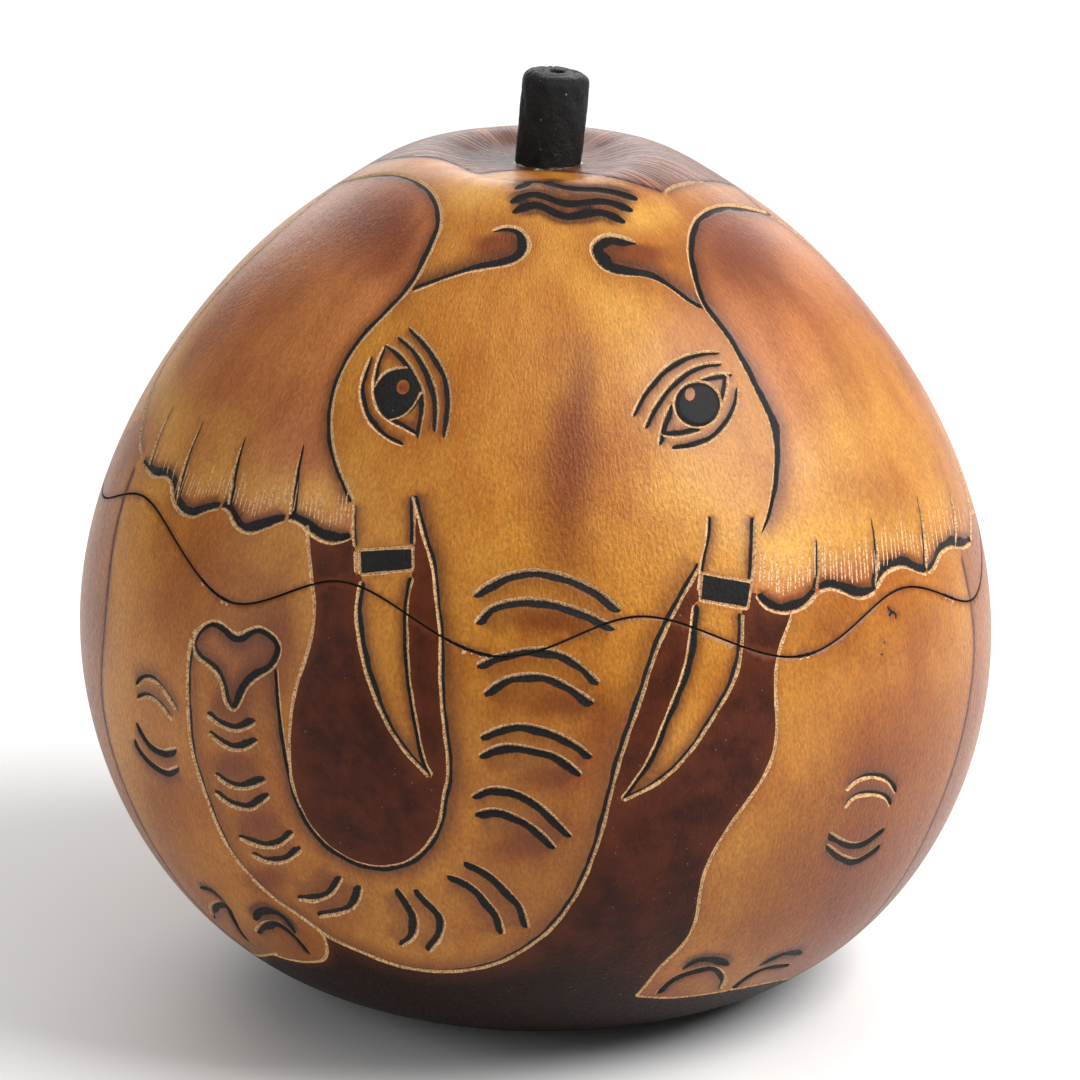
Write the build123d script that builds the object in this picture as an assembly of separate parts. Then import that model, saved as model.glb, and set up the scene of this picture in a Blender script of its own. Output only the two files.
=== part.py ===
from build123d import *
import math
import os

os.makedirs("parts", exist_ok=True)

# A round dried gourd, sawn in two along a wavy line to make a lidded box.
# Millimetres. +Z is up, the face of the animal looks along -Y, and the origin
# is the middle of the flat that the gourd stands on.

# Shell
shell_radius = 55.3        # widest part of the belly
shell_height = 101.5       # up to the ridge round the crown
shell_wall = 4.0
foot_radius = 20.0         # edge of the sanded flat underneath
crown_radius = 13.0        # circle that the top of the ridge follows
crown_dip = 1.7            # how far the stem's seat lies under the ridge
scar_radius = 3.2          # blossom scar in the middle of the flat
scar_depth = 0.7

# Saw cut between the base and the lid
cut_height = 58.4          # middle of the wave above the table
cut_tilt = 4.3             # how far the middle of the wave rises towards -X
wave_height = 5.3          # from a trough to the next crest
kerf = 0.3                 # width of the saw cut

# Stem
stem_radius = 3.9
stem_height = 11.5         # from its seat to its top
stem_lean = 5.5            # degrees, towards +X
stem_shift = 1.6           # foot of the stem beside the gourd's own axis
stem_rim = 1.1             # rounding of its top edge
pith_radius = 0.85
pith_depth = 2.5

# Bead of glue round the stem's foot
bead_reach = 1.0
bead_height = 0.9
bead_tuck = 0.4            # how far its section runs into the stem before trimming
seat_margin = 0.4          # flat left outside the bead

overrun = 5.0              # how far the cutting shapes pass what they cut

# Outside of the shell from the flat to the ridge: shares of radius and height
outside_shares = [
    (0.632, 0.037),
    (0.872, 0.167),
    (0.987, 0.337),
    (1.000, 0.420),
    (0.984, 0.512),
    (0.884, 0.669),
    (0.730, 0.801),
    (0.557, 0.901),
    (0.402, 0.962),
]

# Places along the outside where the wall's thickness is laid off inwards
wall_shares = [0.06, 0.16, 0.28, 0.40, 0.52, 0.64, 0.76, 0.87]

# The saw's wave: azimuth in degrees from -Y towards +X, share of the wave
wave_shares = [
    (-84, -0.38),
    (-66, 0.53),
    (-48, -0.25),
    (-40.5, -0.53),
    (-26, 0.49),
    (-4, -0.45),
    (12.6, 0.53),
    (34, -0.46),
    (53, 0.47),
    (73, -0.58),
    (92, 0.47),
    (112, -0.50),
    (132, 0.52),
    (151, -0.47),
    (171, 0.50),
    (191, -0.52),
    (211, 0.46),
    (230, -0.50),
    (250, 0.50),
]

core_share = 0.5           # hollow middle, inside which the cut may be flat
seat_radius = stem_shift + stem_radius + bead_reach + seat_margin
seat_height = shell_height - crown_dip
total_height = seat_height + stem_height


def section_point(radius, height):
    """A point of the half section, in the plane y = 0."""
    return Vector(radius, 0, height)


def smooth_line(points, start, end):
    """A curve through the points with unit directions at its two ends."""
    directions = [Vector(start).normalized(), Vector(end).normalized()]
    return Edge.make_spline(points, tangents=directions, scale=False)


def outside_line():
    """The belly's outline from the edge of the flat to the crown's ridge."""
    points = [section_point(foot_radius, 0)]
    for radius_share, height_share in outside_shares:
        points.append(section_point(shell_radius * radius_share, shell_height * height_share))
    points.append(section_point(crown_radius, shell_height))
    return smooth_line(points, (1, 0, 0), (-1, 0, 0))


def outside_face():
    """Half section of the whole gourd, scar and crown included."""
    belly = outside_line()
    ridge = section_point(crown_radius, shell_height)
    seat = section_point(seat_radius, seat_height)
    crown = smooth_line([ridge, seat], (-1, 0, 0), (-1, 0, 0))
    top = Edge.make_line(seat, section_point(0, seat_height))
    axis = Edge.make_line(section_point(0, seat_height), section_point(0, scar_depth))
    scar_middle = section_point(0, scar_depth)
    scar = smooth_line([scar_middle, section_point(scar_radius, 0)], (1, 0, 0), (1, 0, 0))
    flat = Edge.make_line(section_point(scar_radius, 0), section_point(foot_radius, 0))
    return Face(Wire([belly, crown, top, axis, scar, flat]))


def hollow_face():
    """Half section of the scraped hollow, one wall inside the outline."""
    belly = outside_line()
    floor = section_point(0, scar_depth + shell_wall)
    ceiling = section_point(0, seat_height - shell_wall)
    points = [floor]
    for share in wall_shares:
        along = belly.tangent_at(share)
        inward = Vector(-along.Z, 0, along.X)
        points.append(belly.position_at(share) + inward * shell_wall)
    points.append(ceiling)
    line = smooth_line(points, (1, 0, 0), (-1, 0, 0))
    return Face(Wire([line, Edge.make_line(ceiling, floor)]))


def cut_point(azimuth, share, radius, rise):
    """A point of the saw cut at a given azimuth and radius, lifted by rise."""
    turn = math.radians(azimuth)
    middle = cut_height - cut_tilt * math.sin(turn)
    height = middle + wave_height * share + rise
    return Vector(radius * math.sin(turn), -radius * math.cos(turn), height)


def cut_loop(radius, rise):
    """The saw's wave as a closed curve at one radius."""
    points = [cut_point(azimuth, share, radius, rise) for azimuth, share in wave_shares]
    turns = [math.radians(azimuth) for azimuth, share in wave_shares]
    turns.append(turns[0] + math.tau)
    return Edge.make_spline(points, periodic=True, parameters=turns)


def beyond_cut(rise, reach):
    """Everything above (reach > 0) or below (reach < 0) the lifted saw cut."""
    core_radius = shell_radius * core_share
    inner = cut_loop(core_radius, rise)
    outer = cut_loop(shell_radius + overrun, rise)
    ring = Solid.extrude(Face.make_surface_from_curves(inner, outer), (0, 0, reach))
    disc = Face(Wire([Edge.make_circle(core_radius + overrun)]))
    core = Solid.extrude(disc.moved(Location((0, 0, cut_height + rise))), (0, 0, reach))
    return [ring, core]


def trimmed(solid, tools):
    """The solid with each tool taken away, one after the other."""
    for tool in tools:
        solid = solid - tool
    return solid


def make_shell():
    """The whole hollow gourd before it is sawn."""
    return revolve(outside_face(), Axis.Z) - revolve(hollow_face(), Axis.Z)


def make_stem():
    """A leaning twig with a rounded top and a pith hole, cut level at its foot."""
    lean = Location((stem_shift, 0, seat_height), (0, stem_lean, 0))
    length = stem_height + overrun
    twig = Cylinder(stem_radius, length, align=(Align.CENTER, Align.CENTER, Align.MAX))
    twig = fillet(twig.edges().sort_by(Axis.Z)[-1], stem_rim)
    pith = Cylinder(pith_radius, pith_depth, align=(Align.CENTER, Align.CENTER, Align.MAX))
    twig = lean * Pos(0, 0, stem_height) * (twig - pith)
    keep = Pos(0, 0, seat_height) * Box(
        4 * shell_radius, 4 * shell_radius, 2 * total_height,
        align=(Align.CENTER, Align.CENTER, Align.MIN),
    )
    return twig & keep


def make_bead(stem):
    """A low ring of glue that rounds the corner between the stem and the shell."""
    inner = section_point(stem_radius - bead_tuck, 0)
    outer = section_point(stem_radius + bead_reach, 0)
    top = section_point(stem_radius - bead_tuck, bead_height)
    slope = smooth_line([outer, top], (-1, 0, 1), (-1, 0, 1))
    side = Edge.make_line(top, inner)
    under = Edge.make_line(inner, outer)
    ring = revolve(Face(Wire([slope, side, under])), Axis.Z)
    return Pos(stem_shift, 0, seat_height) * ring - stem


def main():
    """Saw the shell in two, and write every piece."""
    shell = make_shell()
    stem = make_stem()
    pieces = {
        "gourd_base": trimmed(shell, beyond_cut(-kerf / 2, total_height)),
        "gourd_lid": trimmed(shell, beyond_cut(kerf / 2, -total_height)),
        "stem": stem,
        "stem_glue": make_bead(stem),
    }
    for name, piece in pieces.items():
        export_step(piece, f"parts/{name}.step")


main()
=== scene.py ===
import bpy
import math
import numpy as np
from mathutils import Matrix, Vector
from mathutils.geometry import delaunay_2d_cdt
from mathutils.kdtree import KDTree


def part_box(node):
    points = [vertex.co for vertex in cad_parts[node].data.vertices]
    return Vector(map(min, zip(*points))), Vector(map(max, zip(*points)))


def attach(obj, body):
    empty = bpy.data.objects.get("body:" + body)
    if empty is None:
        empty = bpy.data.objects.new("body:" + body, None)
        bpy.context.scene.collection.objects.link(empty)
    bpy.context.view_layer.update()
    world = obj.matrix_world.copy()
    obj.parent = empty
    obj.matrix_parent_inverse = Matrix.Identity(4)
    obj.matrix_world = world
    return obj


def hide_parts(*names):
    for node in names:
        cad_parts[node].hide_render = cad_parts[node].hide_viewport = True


# Lengths in this script are millimetres until a mesh is made. A place on the gourd is an
# azimuth, 0 at the face (-Y) and growing towards +X, and a height or a distance along the skin.
metres = 0.001
nearAxis = 0.02      # where the outlines stop short of the axis

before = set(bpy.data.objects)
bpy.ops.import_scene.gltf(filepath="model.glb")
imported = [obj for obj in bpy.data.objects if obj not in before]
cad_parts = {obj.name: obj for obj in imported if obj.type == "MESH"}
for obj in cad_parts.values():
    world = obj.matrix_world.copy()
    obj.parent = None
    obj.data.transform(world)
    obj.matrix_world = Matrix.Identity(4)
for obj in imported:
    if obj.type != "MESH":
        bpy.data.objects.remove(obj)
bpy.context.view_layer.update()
baseLow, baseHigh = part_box("gourd_base")
lidLow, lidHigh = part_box("gourd_lid")
stemLow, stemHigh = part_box("stem")
print("frame loaded:", ", ".join(sorted(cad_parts)))

# The gourd's own shape
gourd = {
    "radius": (baseHigh.x - baseLow.x) / 2 / metres,
    "height": lidHigh.z / metres,
    "seat": stemLow.z / metres + 0.6,      # height of the flat that carries the stem
    "seatRadius": 6.9,
    "wall": 4.0,
    "footRadius": 20.0,
    "crownRadius": 13.0,
    "scarRadius": 3.2,
    "scarDepth": 0.7,
    "outline": [(0.632, 0.037), (0.872, 0.167), (0.987, 0.337), (1.0, 0.42), (0.984, 0.512),
                (0.884, 0.669), (0.73, 0.801), (0.557, 0.901), (0.402, 0.962)],
    "wallPlaces": [0.06, 0.16, 0.28, 0.4, 0.52, 0.64, 0.76, 0.87],
    "sway": (-0.5, 0.5),              # sideways drift of the belly with height
    "swayMiddle": 52.0,               # height where it crosses the axis
    "swayReach": 50.0,
    "dent": 0.16,                     # soft unevenness of the skin
    "furrow": 0.2,                    # depth of the creases round the stem
    "brow": 0.55,                     # how much lower the crown is at the front
    "grid": 0.8,                      # spacing of the plain mesh
    "insideGrid": 1.9,
    "sharpAngle": 52,                 # degrees between faces that show as an edge
    "grainRadius": 55.0,              # of the cylinder that the grain is wrapped round
}

# The saw cut that parts lid and base
sawCut = {
    "height": 58.4,
    "tilt": 4.3,
    "wave": 5.3,
    "kerf": 0.16,
    "bevel": 0.05,
    "places": [(-84, -0.38), (-66, 0.53), (-48, -0.25), (-40.5, -0.53), (-26, 0.49), (-4, -0.45),
               (12.6, 0.53), (34, -0.46), (53, 0.47), (73, -0.58), (92, 0.47), (112, -0.5),
               (132, 0.52), (151, -0.47), (171, 0.5), (191, -0.52), (211, 0.46), (230, -0.5),
               (250, 0.5)],
    "chips": [(-44, 6), (-8, 6), (35, 3), (64, 3), (118, 5), (203, 4), (262, 3)],
    "chipDepth": 0.16,
    "chipPitch": 0.95,
    "chipPale": {1: 0.6, -1: 1.1},     # how bare a nick is, on the lid and on the base
    # The skin's edge and the sawn face beside it are darkened along the cut
    "rimEdgeDarkening": 0.7,
    "rimFaceDarkening": (1.0, 0.25),
    "step": 0.32,                      # between points along the rim
    "rimRows": (0.02, 0.12, 0.4, 0.7, 1.0),
}

# The photographer's place. The front of the carving is laid out in pixels of a frame of
# 1080 by 1080, seen from here.
camera = {
    "elevation": 17.5,
    "distance": 700.0,
    "focalPixels": 5780.0,
    "target": (0.604, 0.0, 53.277),
    "frame": 1080,
    "sensor": 36.0,
}


def splineThrough(points, startDir=None, endDir=None, step=1.0, spans=None):
    pts = np.asarray(points, float)
    gaps = np.linalg.norm(np.diff(pts, axis=0), axis=1)
    n = len(pts)
    weights, right = np.zeros((n, n)), np.zeros(pts.shape)
    for i in range(1, n - 1):
        a, b = gaps[i - 1], gaps[i]
        weights[i, i - 1:i + 2] = b, 2 * (a + b), a
        right[i] = 3 * (b * (pts[i] - pts[i - 1]) / a + a * (pts[i + 1] - pts[i]) / b)
    for end, inner, sign, direction in ((0, 1, 1, startDir), (-1, -2, -1, endDir)):
        weights[end, end] = 1
        if direction is None:
            weights[end, end], weights[end, inner] = 2, 1
            direction = 3 * (sign * (pts[inner] - pts[end]) / gaps[end])
        right[end] = direction
    slopes = np.linalg.solve(weights, right)
    spans = spans or range(n - 1)
    out = []
    for i in spans:
        h = gaps[i]
        t = np.linspace(0, 1, max(2, math.ceil(h / step)), endpoint=False)[:, None]
        out.append((2 * t**3 - 3 * t**2 + 1) * pts[i] + (t**3 - 2 * t**2 + t) * h * slopes[i]
                   + (3 * t**2 - 2 * t**3) * pts[i + 1] + (t**3 - t**2) * h * slopes[i + 1])
    out.append(pts[spans[-1] + 1][None])
    return np.vstack(out)


def farAlong(line):
    return np.concatenate([[0], np.cumsum(np.linalg.norm(np.diff(line, axis=0), axis=1))])


# A surface of revolution as a table along its line: s is the distance, and u grows by the
# step over the radius, so that a small square in azimuth and u is a square on the surface
def surfaceOf(line, sideFrom, sideTo, samples=6000):
    s = farAlong(line)
    even = np.linspace(0, s[-1], samples)
    r, z = np.interp(even, s, line[:, 0]), np.interp(even, s, line[:, 1])
    step = even[1]
    turn = np.concatenate([[0], np.cumsum(step * 2 / (r[1:] + r[:-1]))])
    nr, nz = np.gradient(z, step), -np.gradient(r, step)
    length = np.hypot(nr, nz)
    side = slice(np.searchsorted(even, s[sideFrom]), np.searchsorted(even, s[sideTo]))
    return {"s": even, "r": r, "z": z, "u": turn, "nr": nr / length, "nz": nz / length, "side": side}


def bellyLine():
    points = [(gourd["footRadius"], 0.0)]
    points += [(gourd["radius"] * a, gourd["height"] * b) for a, b in gourd["outline"]]
    points.append((gourd["crownRadius"], gourd["height"]))
    return splineThrough(points, (1, 0), (-1, 0), step=0.2)


def makeSkin():
    belly = bellyLine()
    seat, seatRadius, scarRadius = gourd["seat"], gourd["seatRadius"], gourd["scarRadius"]
    crown = splineThrough([belly[-1], (seatRadius, seat)], (-1, 0), (-1, 0), step=0.2)
    scar = splineThrough([(nearAxis, gourd["scarDepth"]), (scarRadius, 0)], (1, 0), (1, 0), step=0.1)
    flat = [(r, 0.0) for r in np.arange(scarRadius + 0.3, gourd["footRadius"], 0.3)]
    top = [(r, seat) for r in np.arange(seatRadius - 0.3, 0.1, -0.3)] + [(nearAxis, seat)]
    start = len(scar) + len(flat)
    return surfaceOf(np.vstack([scar, flat, belly, crown[1:], top]), start, start + len(belly) - 1)


def makeHollow():
    belly = bellyLine()
    s = farAlong(belly)
    slopes = np.gradient(belly, s, axis=0)
    wall = gourd["wall"]
    points = [(nearAxis, gourd["scarDepth"] + wall)]
    for share in gourd["wallPlaces"]:
        r, z, dr, dz = [np.interp(share * s[-1], s, data) for data in (*belly.T, *slopes.T)]
        length = math.hypot(dr, dz)
        points.append((r - wall * dz / length, z + wall * dr / length))
    points.append((nearAxis, gourd["seat"] - wall))
    line = splineThrough(points, (1, 0), (-1, 0), step=0.3)
    return surfaceOf(line, 0, len(line) - 1)


skin = makeSkin()
hollow = makeHollow()


def along(surface, u, name):
    return np.interp(u, surface["u"], surface[name])


def turnAtHeight(surface, z):
    return np.interp(z, surface["z"][surface["side"]], surface["u"][surface["side"]])


def turnAtCrown(r):
    widest = skin["r"].argmax()
    return np.interp(r, skin["r"][widest:][::-1], skin["u"][widest:][::-1])


def wrapped(angle, turn=math.tau):
    return (angle + turn / 2) % turn - turn / 2


def wobble(x, seed, waves):
    rng = np.random.default_rng(seed)
    total = np.zeros_like(x, dtype=float)
    for wave in waves:
        total += rng.uniform(0.5, 1) * np.sin(wave * x + rng.uniform(0, math.tau))
    return total / len(waves)


def sway(z):
    share = (z - gourd["swayMiddle"]) / gourd["swayReach"]
    return gourd["sway"][0] * share + gourd["sway"][1] * share**2


def unevenness(az, u):
    z, r = along(skin, u, "z"), along(skin, u, "r")
    bumps = wobble(az + 0.02 * z, 5, (2, 3, 5)) * np.sin(z * 0.06 + 0.5)
    bumps += 0.6 * wobble(az, 6, (4, 7)) * np.sin(z * 0.11)
    lift = gourd["dent"] * bumps * np.clip(z / 12, 0, 1) * np.clip((gourd["height"] - z) / 10, 0, 1)
    rise = np.clip((r - gourd["seatRadius"]) / 3.5, 0, 1)
    fade = np.clip((17 - r) / 9, 0, 1) ** 1.5
    creases = wobble(az, 7, (5, 8, 11)) + 0.8 * wobble(az, 8, (17, 23))
    furrows = gourd["furrow"] * (0.4 - 1.4 * np.abs(creases)) * rise * fade
    front = np.clip(np.cos(az), 0, 1) ** 1.5 * rise * np.clip((34 - r) / 20, 0, 1)
    return lift + np.where(z > gourd["height"] * 0.8, furrows - gourd["brow"] * front, 0)


def onSkin(az, u, depth=0.0):
    z = along(skin, u, "z")
    lift = unevenness(az, u) - depth
    reach = along(skin, u, "r") + along(skin, u, "nr") * lift
    return np.stack([reach * np.sin(az) + sway(z), -reach * np.cos(az), z + along(skin, u, "nz") * lift], -1)


def onHollow(az, u):
    r, z = along(hollow, u, "r"), along(hollow, u, "z")
    return np.stack([r * np.sin(az) + sway(z), -r * np.cos(az), z], -1)


def cutHeight(az):
    places = sawCut["places"]
    wide = [(a - 360, b) for a, b in places[-6:]] + places + [(a + 360, b) for a, b in places[:6]]
    line = splineThrough(wide, step=0.5)
    turned = (np.degrees(az) - places[0][0]) % 360 + places[0][0]
    share = np.interp(turned, line[:, 0], line[:, 1])
    return sawCut["height"] - sawCut["tilt"] * np.sin(az) + sawCut["wave"] * share


def chipDepth(az):
    rng = np.random.default_rng(12)
    depth, pitch = np.zeros_like(az), sawCut["chipPitch"]
    for centre, count in sawCut["chips"]:
        for k in range(count):
            tooth = centre + (k - (count - 1) / 2) * pitch + rng.uniform(-0.1, 0.1)
            off = np.abs(wrapped(np.degrees(az) - tooth, 360)) / (pitch * 0.48)
            depth = np.maximum(depth, sawCut["chipDepth"] * rng.uniform(0.5, 1) * np.clip(1 - off, 0, 1))
    return depth


# From the photograph's pixels to the skin

def cameraAxes():
    e = math.radians(camera["elevation"])
    return np.array([[1, 0, 0], [0, math.sin(e), math.cos(e)], [0, -math.cos(e), math.sin(e)]])


def toPixels(points):
    across, up, back = cameraAxes()
    rel = points - np.array(camera["target"])
    depth = camera["distance"] - rel @ back
    half = camera["frame"] / 2
    return np.stack([half + camera["focalPixels"] * (rel @ across) / depth,
                     half - camera["focalPixels"] * (rel @ up) / depth], -1)


def facing(az, u):
    back = cameraAxes()[2]
    return along(skin, u, "nr") * np.cos(az) * -back[1] + along(skin, u, "nz") * back[2]


def makeLookup():
    az = np.radians(np.arange(-104, 105, 2))
    u = np.linspace(skin["u"][skin["side"]][0] + 0.05, skin["u"][-1] - 5, 260)
    grid = np.stack(np.meshgrid(az, u, indexing="ij"), -1).reshape(-1, 2)
    grid = grid[facing(grid[:, 0], grid[:, 1]) > 0.02]
    return grid, toPixels(onSkin(grid[:, 0], grid[:, 1]))


lookup, lookupPixels = makeLookup()


# Steps towards each pixel from the nearest spot of the lookup, damped where the skin turns away
def fromPixels(pixels, rounds=8, nudge=1e-4, damping=40, mostTurn=0.03):
    pixels = np.asarray(pixels, float)
    spots = lookup[((pixels[:, None] - lookupPixels[None]) ** 2).sum(2).argmin(1)].copy()
    for turn in range(rounds):
        here = toPixels(onSkin(spots[:, 0], spots[:, 1]))
        miss = pixels - here
        jx = (toPixels(onSkin(spots[:, 0] + nudge, spots[:, 1])) - here) / nudge
        jy = (toPixels(onSkin(spots[:, 0], spots[:, 1] + nudge)) - here) / nudge
        a, b, c = (jx * jx).sum(1) + damping, (jx * jy).sum(1), (jy * jy).sum(1) + damping
        p, q = (jx * miss).sum(1), (jy * miss).sum(1)
        det = a * c - b * b
        spots += np.clip(np.stack([(c * p - b * q) / det, (a * q - b * p) / det], 1), -mostTurn, mostTurn)
    return spots


def fromSpots(spots):
    spots = np.asarray(spots, float)
    return np.stack([np.radians(spots[:, 0]), turnAtHeight(skin, spots[:, 1])], 1)


def fromCrown(spots):
    spots = np.asarray(spots, float)
    return np.stack([np.radians(spots[:, 0]), turnAtCrown(spots[:, 1])], 1)


print("shape ready")

# Carving tools: the kind of cut, the widths of the pale slope that the gouge leaves bare and
# of the burnt floor beside it, the depth, the scorched halo's reach and strength, the lengths
# over which the two ends fade, whether the line closes off areas, and how strong it shows
gougeTraits = ("cut", "pale", "black", "depth", "halo", "scorch", "ends", "wall", "strength")
gouges = {
    "outline": ("pair", 0.28, 0.45, 0.22, 0.9, 0.8, (0.5, 0.5), True, 1.0),
    "scallop": ("pair", 0.3, 1.0, 0.26, 0.9, 0.9, (0.1, 0.1), True, 1.0),
    "ring": ("pair", 0.27, 0.82, 0.28, 1.3, 0.75, (0.9, 0.9), False, 1.0),
    "fine": ("pair", 0.22, 0.45, 0.16, 0.7, 0.85, (0.8, 0.8), False, 1.0),
    "fold": ("pair", 0.16, 0.75, 0.2, 0.7, 0.7, (8.0, 0.2), False, 1.0),
    "edge": ("line", 0.26, 0.26, 0.14, 0.6, 0.35, (0.1, 0.1), True, 1.0),
    "hatch": ("scratch", 0.21, 0.21, 0.03, 0.1, 0.0, (1.6, 1.0), False, 0.92),
    "burn": ("burn", 1.25, 1.25, 0.14, 0.55, 0.9, (1.6, 1.6), False, 1.0),
    "seam": ("burn", 0.3, 0.3, 0.08, 0.55, 0.8, (0.1, 0.1), True, 0.36),
    "fleck": ("burn", 0.4, 0.4, 0.1, 0.35, 0.6, (0.5, 0.5), False, 0.8),
    "fence": ("none", 0.0, 0.0, 0.0, 0.1, 0.0, (0.1, 0.1), True, 1.0),
}

# How closely the cuts are followed by the mesh
carving = {
    "spacing": 0.44,       # between points along a cut
    "leastWidth": 0.05,    # where a narrower cut loses its side lines
    "pastRim": 1.2,        # how far a line runs on past the saw cut
    "clear": 0.45,         # how near the plain mesh comes to a cut, in its own spacings
    "sliver": 60,          # faces in the smallest area that isn't joined to its neighbour
}
# Across each cut, in widths to either side of its own line
crossSteps = [-1.5, -1, -0.5, 0, 0.5, 1, 1.5]
unmarked = [0] * len(crossSteps)
crossSections = {
    "pair": {"pale": [0, 0.5, 1, 0.5, 0, 0, 0], "black": [0, 0, 0, 0.5, 1, 0.5, 0],
             "depth": [0, 0, 0.5, 1, 0.6, 0.1, 0]},
    "line": {"pale": [0, 0.2, 0.95, 0.42, 0.95, 0.2, 0], "black": unmarked,
             "depth": [0, 0, 0.5, 1, 0.5, 0, 0]},
    "scratch": {"pale": [0, 0, 0.5, 1, 0.5, 0, 0], "black": unmarked, "depth": [0, 0, 0.25, 1, 0.25, 0, 0]},
    "burn": {"pale": unmarked, "black": [0, 0, 0.5, 1, 0.5, 0, 0], "depth": [0, 0, 0.3, 1, 0.3, 0, 0]},
}
strokes = []


def smoothRuns(points, closed, step=1.5):
    runs = [[points[0]]]
    for before, point in zip(points, points[1:]):
        if point == before:
            runs.append([point])      # a point given twice is a corner
        else:
            runs[-1].append(point)
    if closed and len(runs) == 1:
        wide = points[-4:] + points + points[:5]
        return splineThrough(wide, step=step, spans=range(4, 4 + len(points)))
    if closed:
        runs[-1].append(points[0])
    return np.vstack([splineThrough(run, step=step) for run in runs if len(run) > 1])


def carve(name, side, path, closed=False, **changes):
    gouge = dict(zip(gougeTraits, gouges[name]), **changes)
    path[:, 0] = np.unwrap(path[:, 0])
    r = along(skin, path[:, 1], "r")
    gaps = np.linalg.norm(np.diff(path, axis=0), axis=1) * (r[1:] + r[:-1]) / 2
    keep = np.concatenate([[True], gaps > 1e-3])
    far = np.concatenate([[0], np.cumsum(gaps[keep[1:]])])
    length = far[-1]
    even = np.linspace(0, length, max(4, round(length / carving["spacing"])) + 1)
    path = np.stack([np.interp(even, far, path[keep, k]) for k in (0, 1)], 1)
    widths = np.atleast_1d(gouge["black"])
    black = np.interp(even / length, np.linspace(0, 1, len(widths)), widths)
    taper = np.clip(even / gouge["ends"][0], 0, 1) * np.clip((length - even) / gouge["ends"][1], 0, 1)
    taper = np.ones(len(even)) if closed else np.sqrt(taper)
    seed = len(strokes)
    black = black * taper * (1 + 0.3 * wobble(even, seed, (0.5, 0.9, 1.7)))
    pale = gouge["pale"] * np.clip(taper * 1.3, 0, 1) * (1 + 0.25 * wobble(even, seed + 900, (0.8, 1.9)))
    strokes.append(dict(gouge, path=path, side=side, closed=closed, black=black,
                        pale=pale if gouge["cut"] == "pair" else black,
                        depth=gouge["depth"] * np.clip(taper * 1.2, 0, 1), scorch=gouge["scorch"] * taper))


def front(name, side, pixels, closed=False, **changes):
    carve(name, side, fromPixels(smoothRuns(pixels, closed)), closed, **changes)


def around(name, side, spots, closed=False, **changes):
    carve(name, side, fromSpots(smoothRuns(spots, closed)), closed, **changes)


def atCrown(name, side, spots, closed=False, **changes):
    carve(name, side, fromCrown(smoothRuns(spots, closed)), closed, **changes)


# The front of the carving, in the photograph's pixels

def carveEars():
    outline = {"black": [0.3, 0.5, 0.55, 0.4, 0.38], "pale": 0.38, "depth": 0.14, "halo": 1.1}
    front("outline", -1, [(334, 185), (363, 177), (392, 174), (411, 178), (433, 194), (440, 219),
            (431, 248), (411, 285), (386, 313), (360, 341), (345, 364), (333, 396), (330, 421), (335, 460),
            (345, 486), (353, 503)], **outline)
    front("outline", 1, [(334, 185), (267, 244), (216, 295), (180, 340), (158, 376), (148, 400), (142, 424),
            (140, 440), (142, 457)], black=0.3)
    wide = {"black": [0.6, 1.0, 0.8, 0.7, 0.6, 0.55, 0.7, 0.9, 0.55, 0.15], "halo": 1.6, "ends": (0.5, 2.5)}
    front("outline", 1, [(769, 213), (740, 206), (714, 207), (695, 221), (689, 243), (694, 278), (703, 303),
            (724, 332), (743, 364), (759, 396), (770, 421), (775, 447), (773, 489), (767, 518), (760, 537)],
            **wide)
    lobes = [
        [(142, 462), (148, 471), (156, 476), (165, 476), (171, 485), (173, 500), (179, 510), (192, 516),
         (205, 511), (220, 507)],
        [(220, 507), (226, 509), (234, 523), (249, 532), (267, 527), (286, 519)],
        [(286, 519), (293, 520), (311, 533), (328, 542), (341, 541), (353, 536)],
        [(756, 593), (766, 606), (783, 612), (801, 608), (814, 596), (818, 591)],
        [(818, 591), (833, 588), (857, 597), (871, 594), (876, 590)],
        [(876, 590), (886, 573), (904, 566), (921, 572), (928, 573)],
        [(928, 573), (933, 569), (942, 552), (954, 546), (964, 547), (971, 541)],
    ]
    for lobe in lobes:
        front("scallop", 1, lobe, black=[0.65, 1.0, 1.15, 1.05, 0.65])
    folds = {
        1: [[(175, 403), (161, 430), (148, 467)], [(204, 419), (190, 449), (179, 484), (175, 503)],
            [(246, 434), (236, 463), (228, 507)], [(304, 442), (297, 468), (290, 517)]],
        -1: [[(816, 536), (819, 556), (816, 590)], [(871, 516), (877, 547), (876, 588)],
             [(917, 494), (924, 530), (927, 570)], [(947, 481), (954, 509), (957, 546)]],
    }
    for side, lines in folds.items():
        for line in lines:
            front("fold", side, line)


def hatchEars():
    rng = np.random.default_rng(31)
    edges = {
        "left": [[142, 156, 173, 192, 220, 249, 286, 328, 353],
                 [455, 462, 495, 500, 495, 517, 506, 527, 522]],
        "right": [[757, 783, 818, 857, 876, 904, 928, 954, 971],
                  [580, 596, 577, 583, 574, 551, 558, 532, 527]],
    }
    for name, (xs, ys) in edges.items():
        for x in np.arange(xs[0] + 3, xs[-1] - 2, 3.9):
            x = x + rng.uniform(-1, 1)
            lean = 0.17 + (300 - x) * 0.0017 if name == "left" else (x - 800) * -0.0011
            length = rng.uniform(15, 36) * (1.1 if name == "left" else 1.45)
            bottom = np.interp(x, xs, ys) + rng.uniform(0, 4)
            front("hatch", 1, [(x + lean * length, bottom - length), (x, bottom)],
                    strength=0.74 if name == "left" else 0.96)


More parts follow.
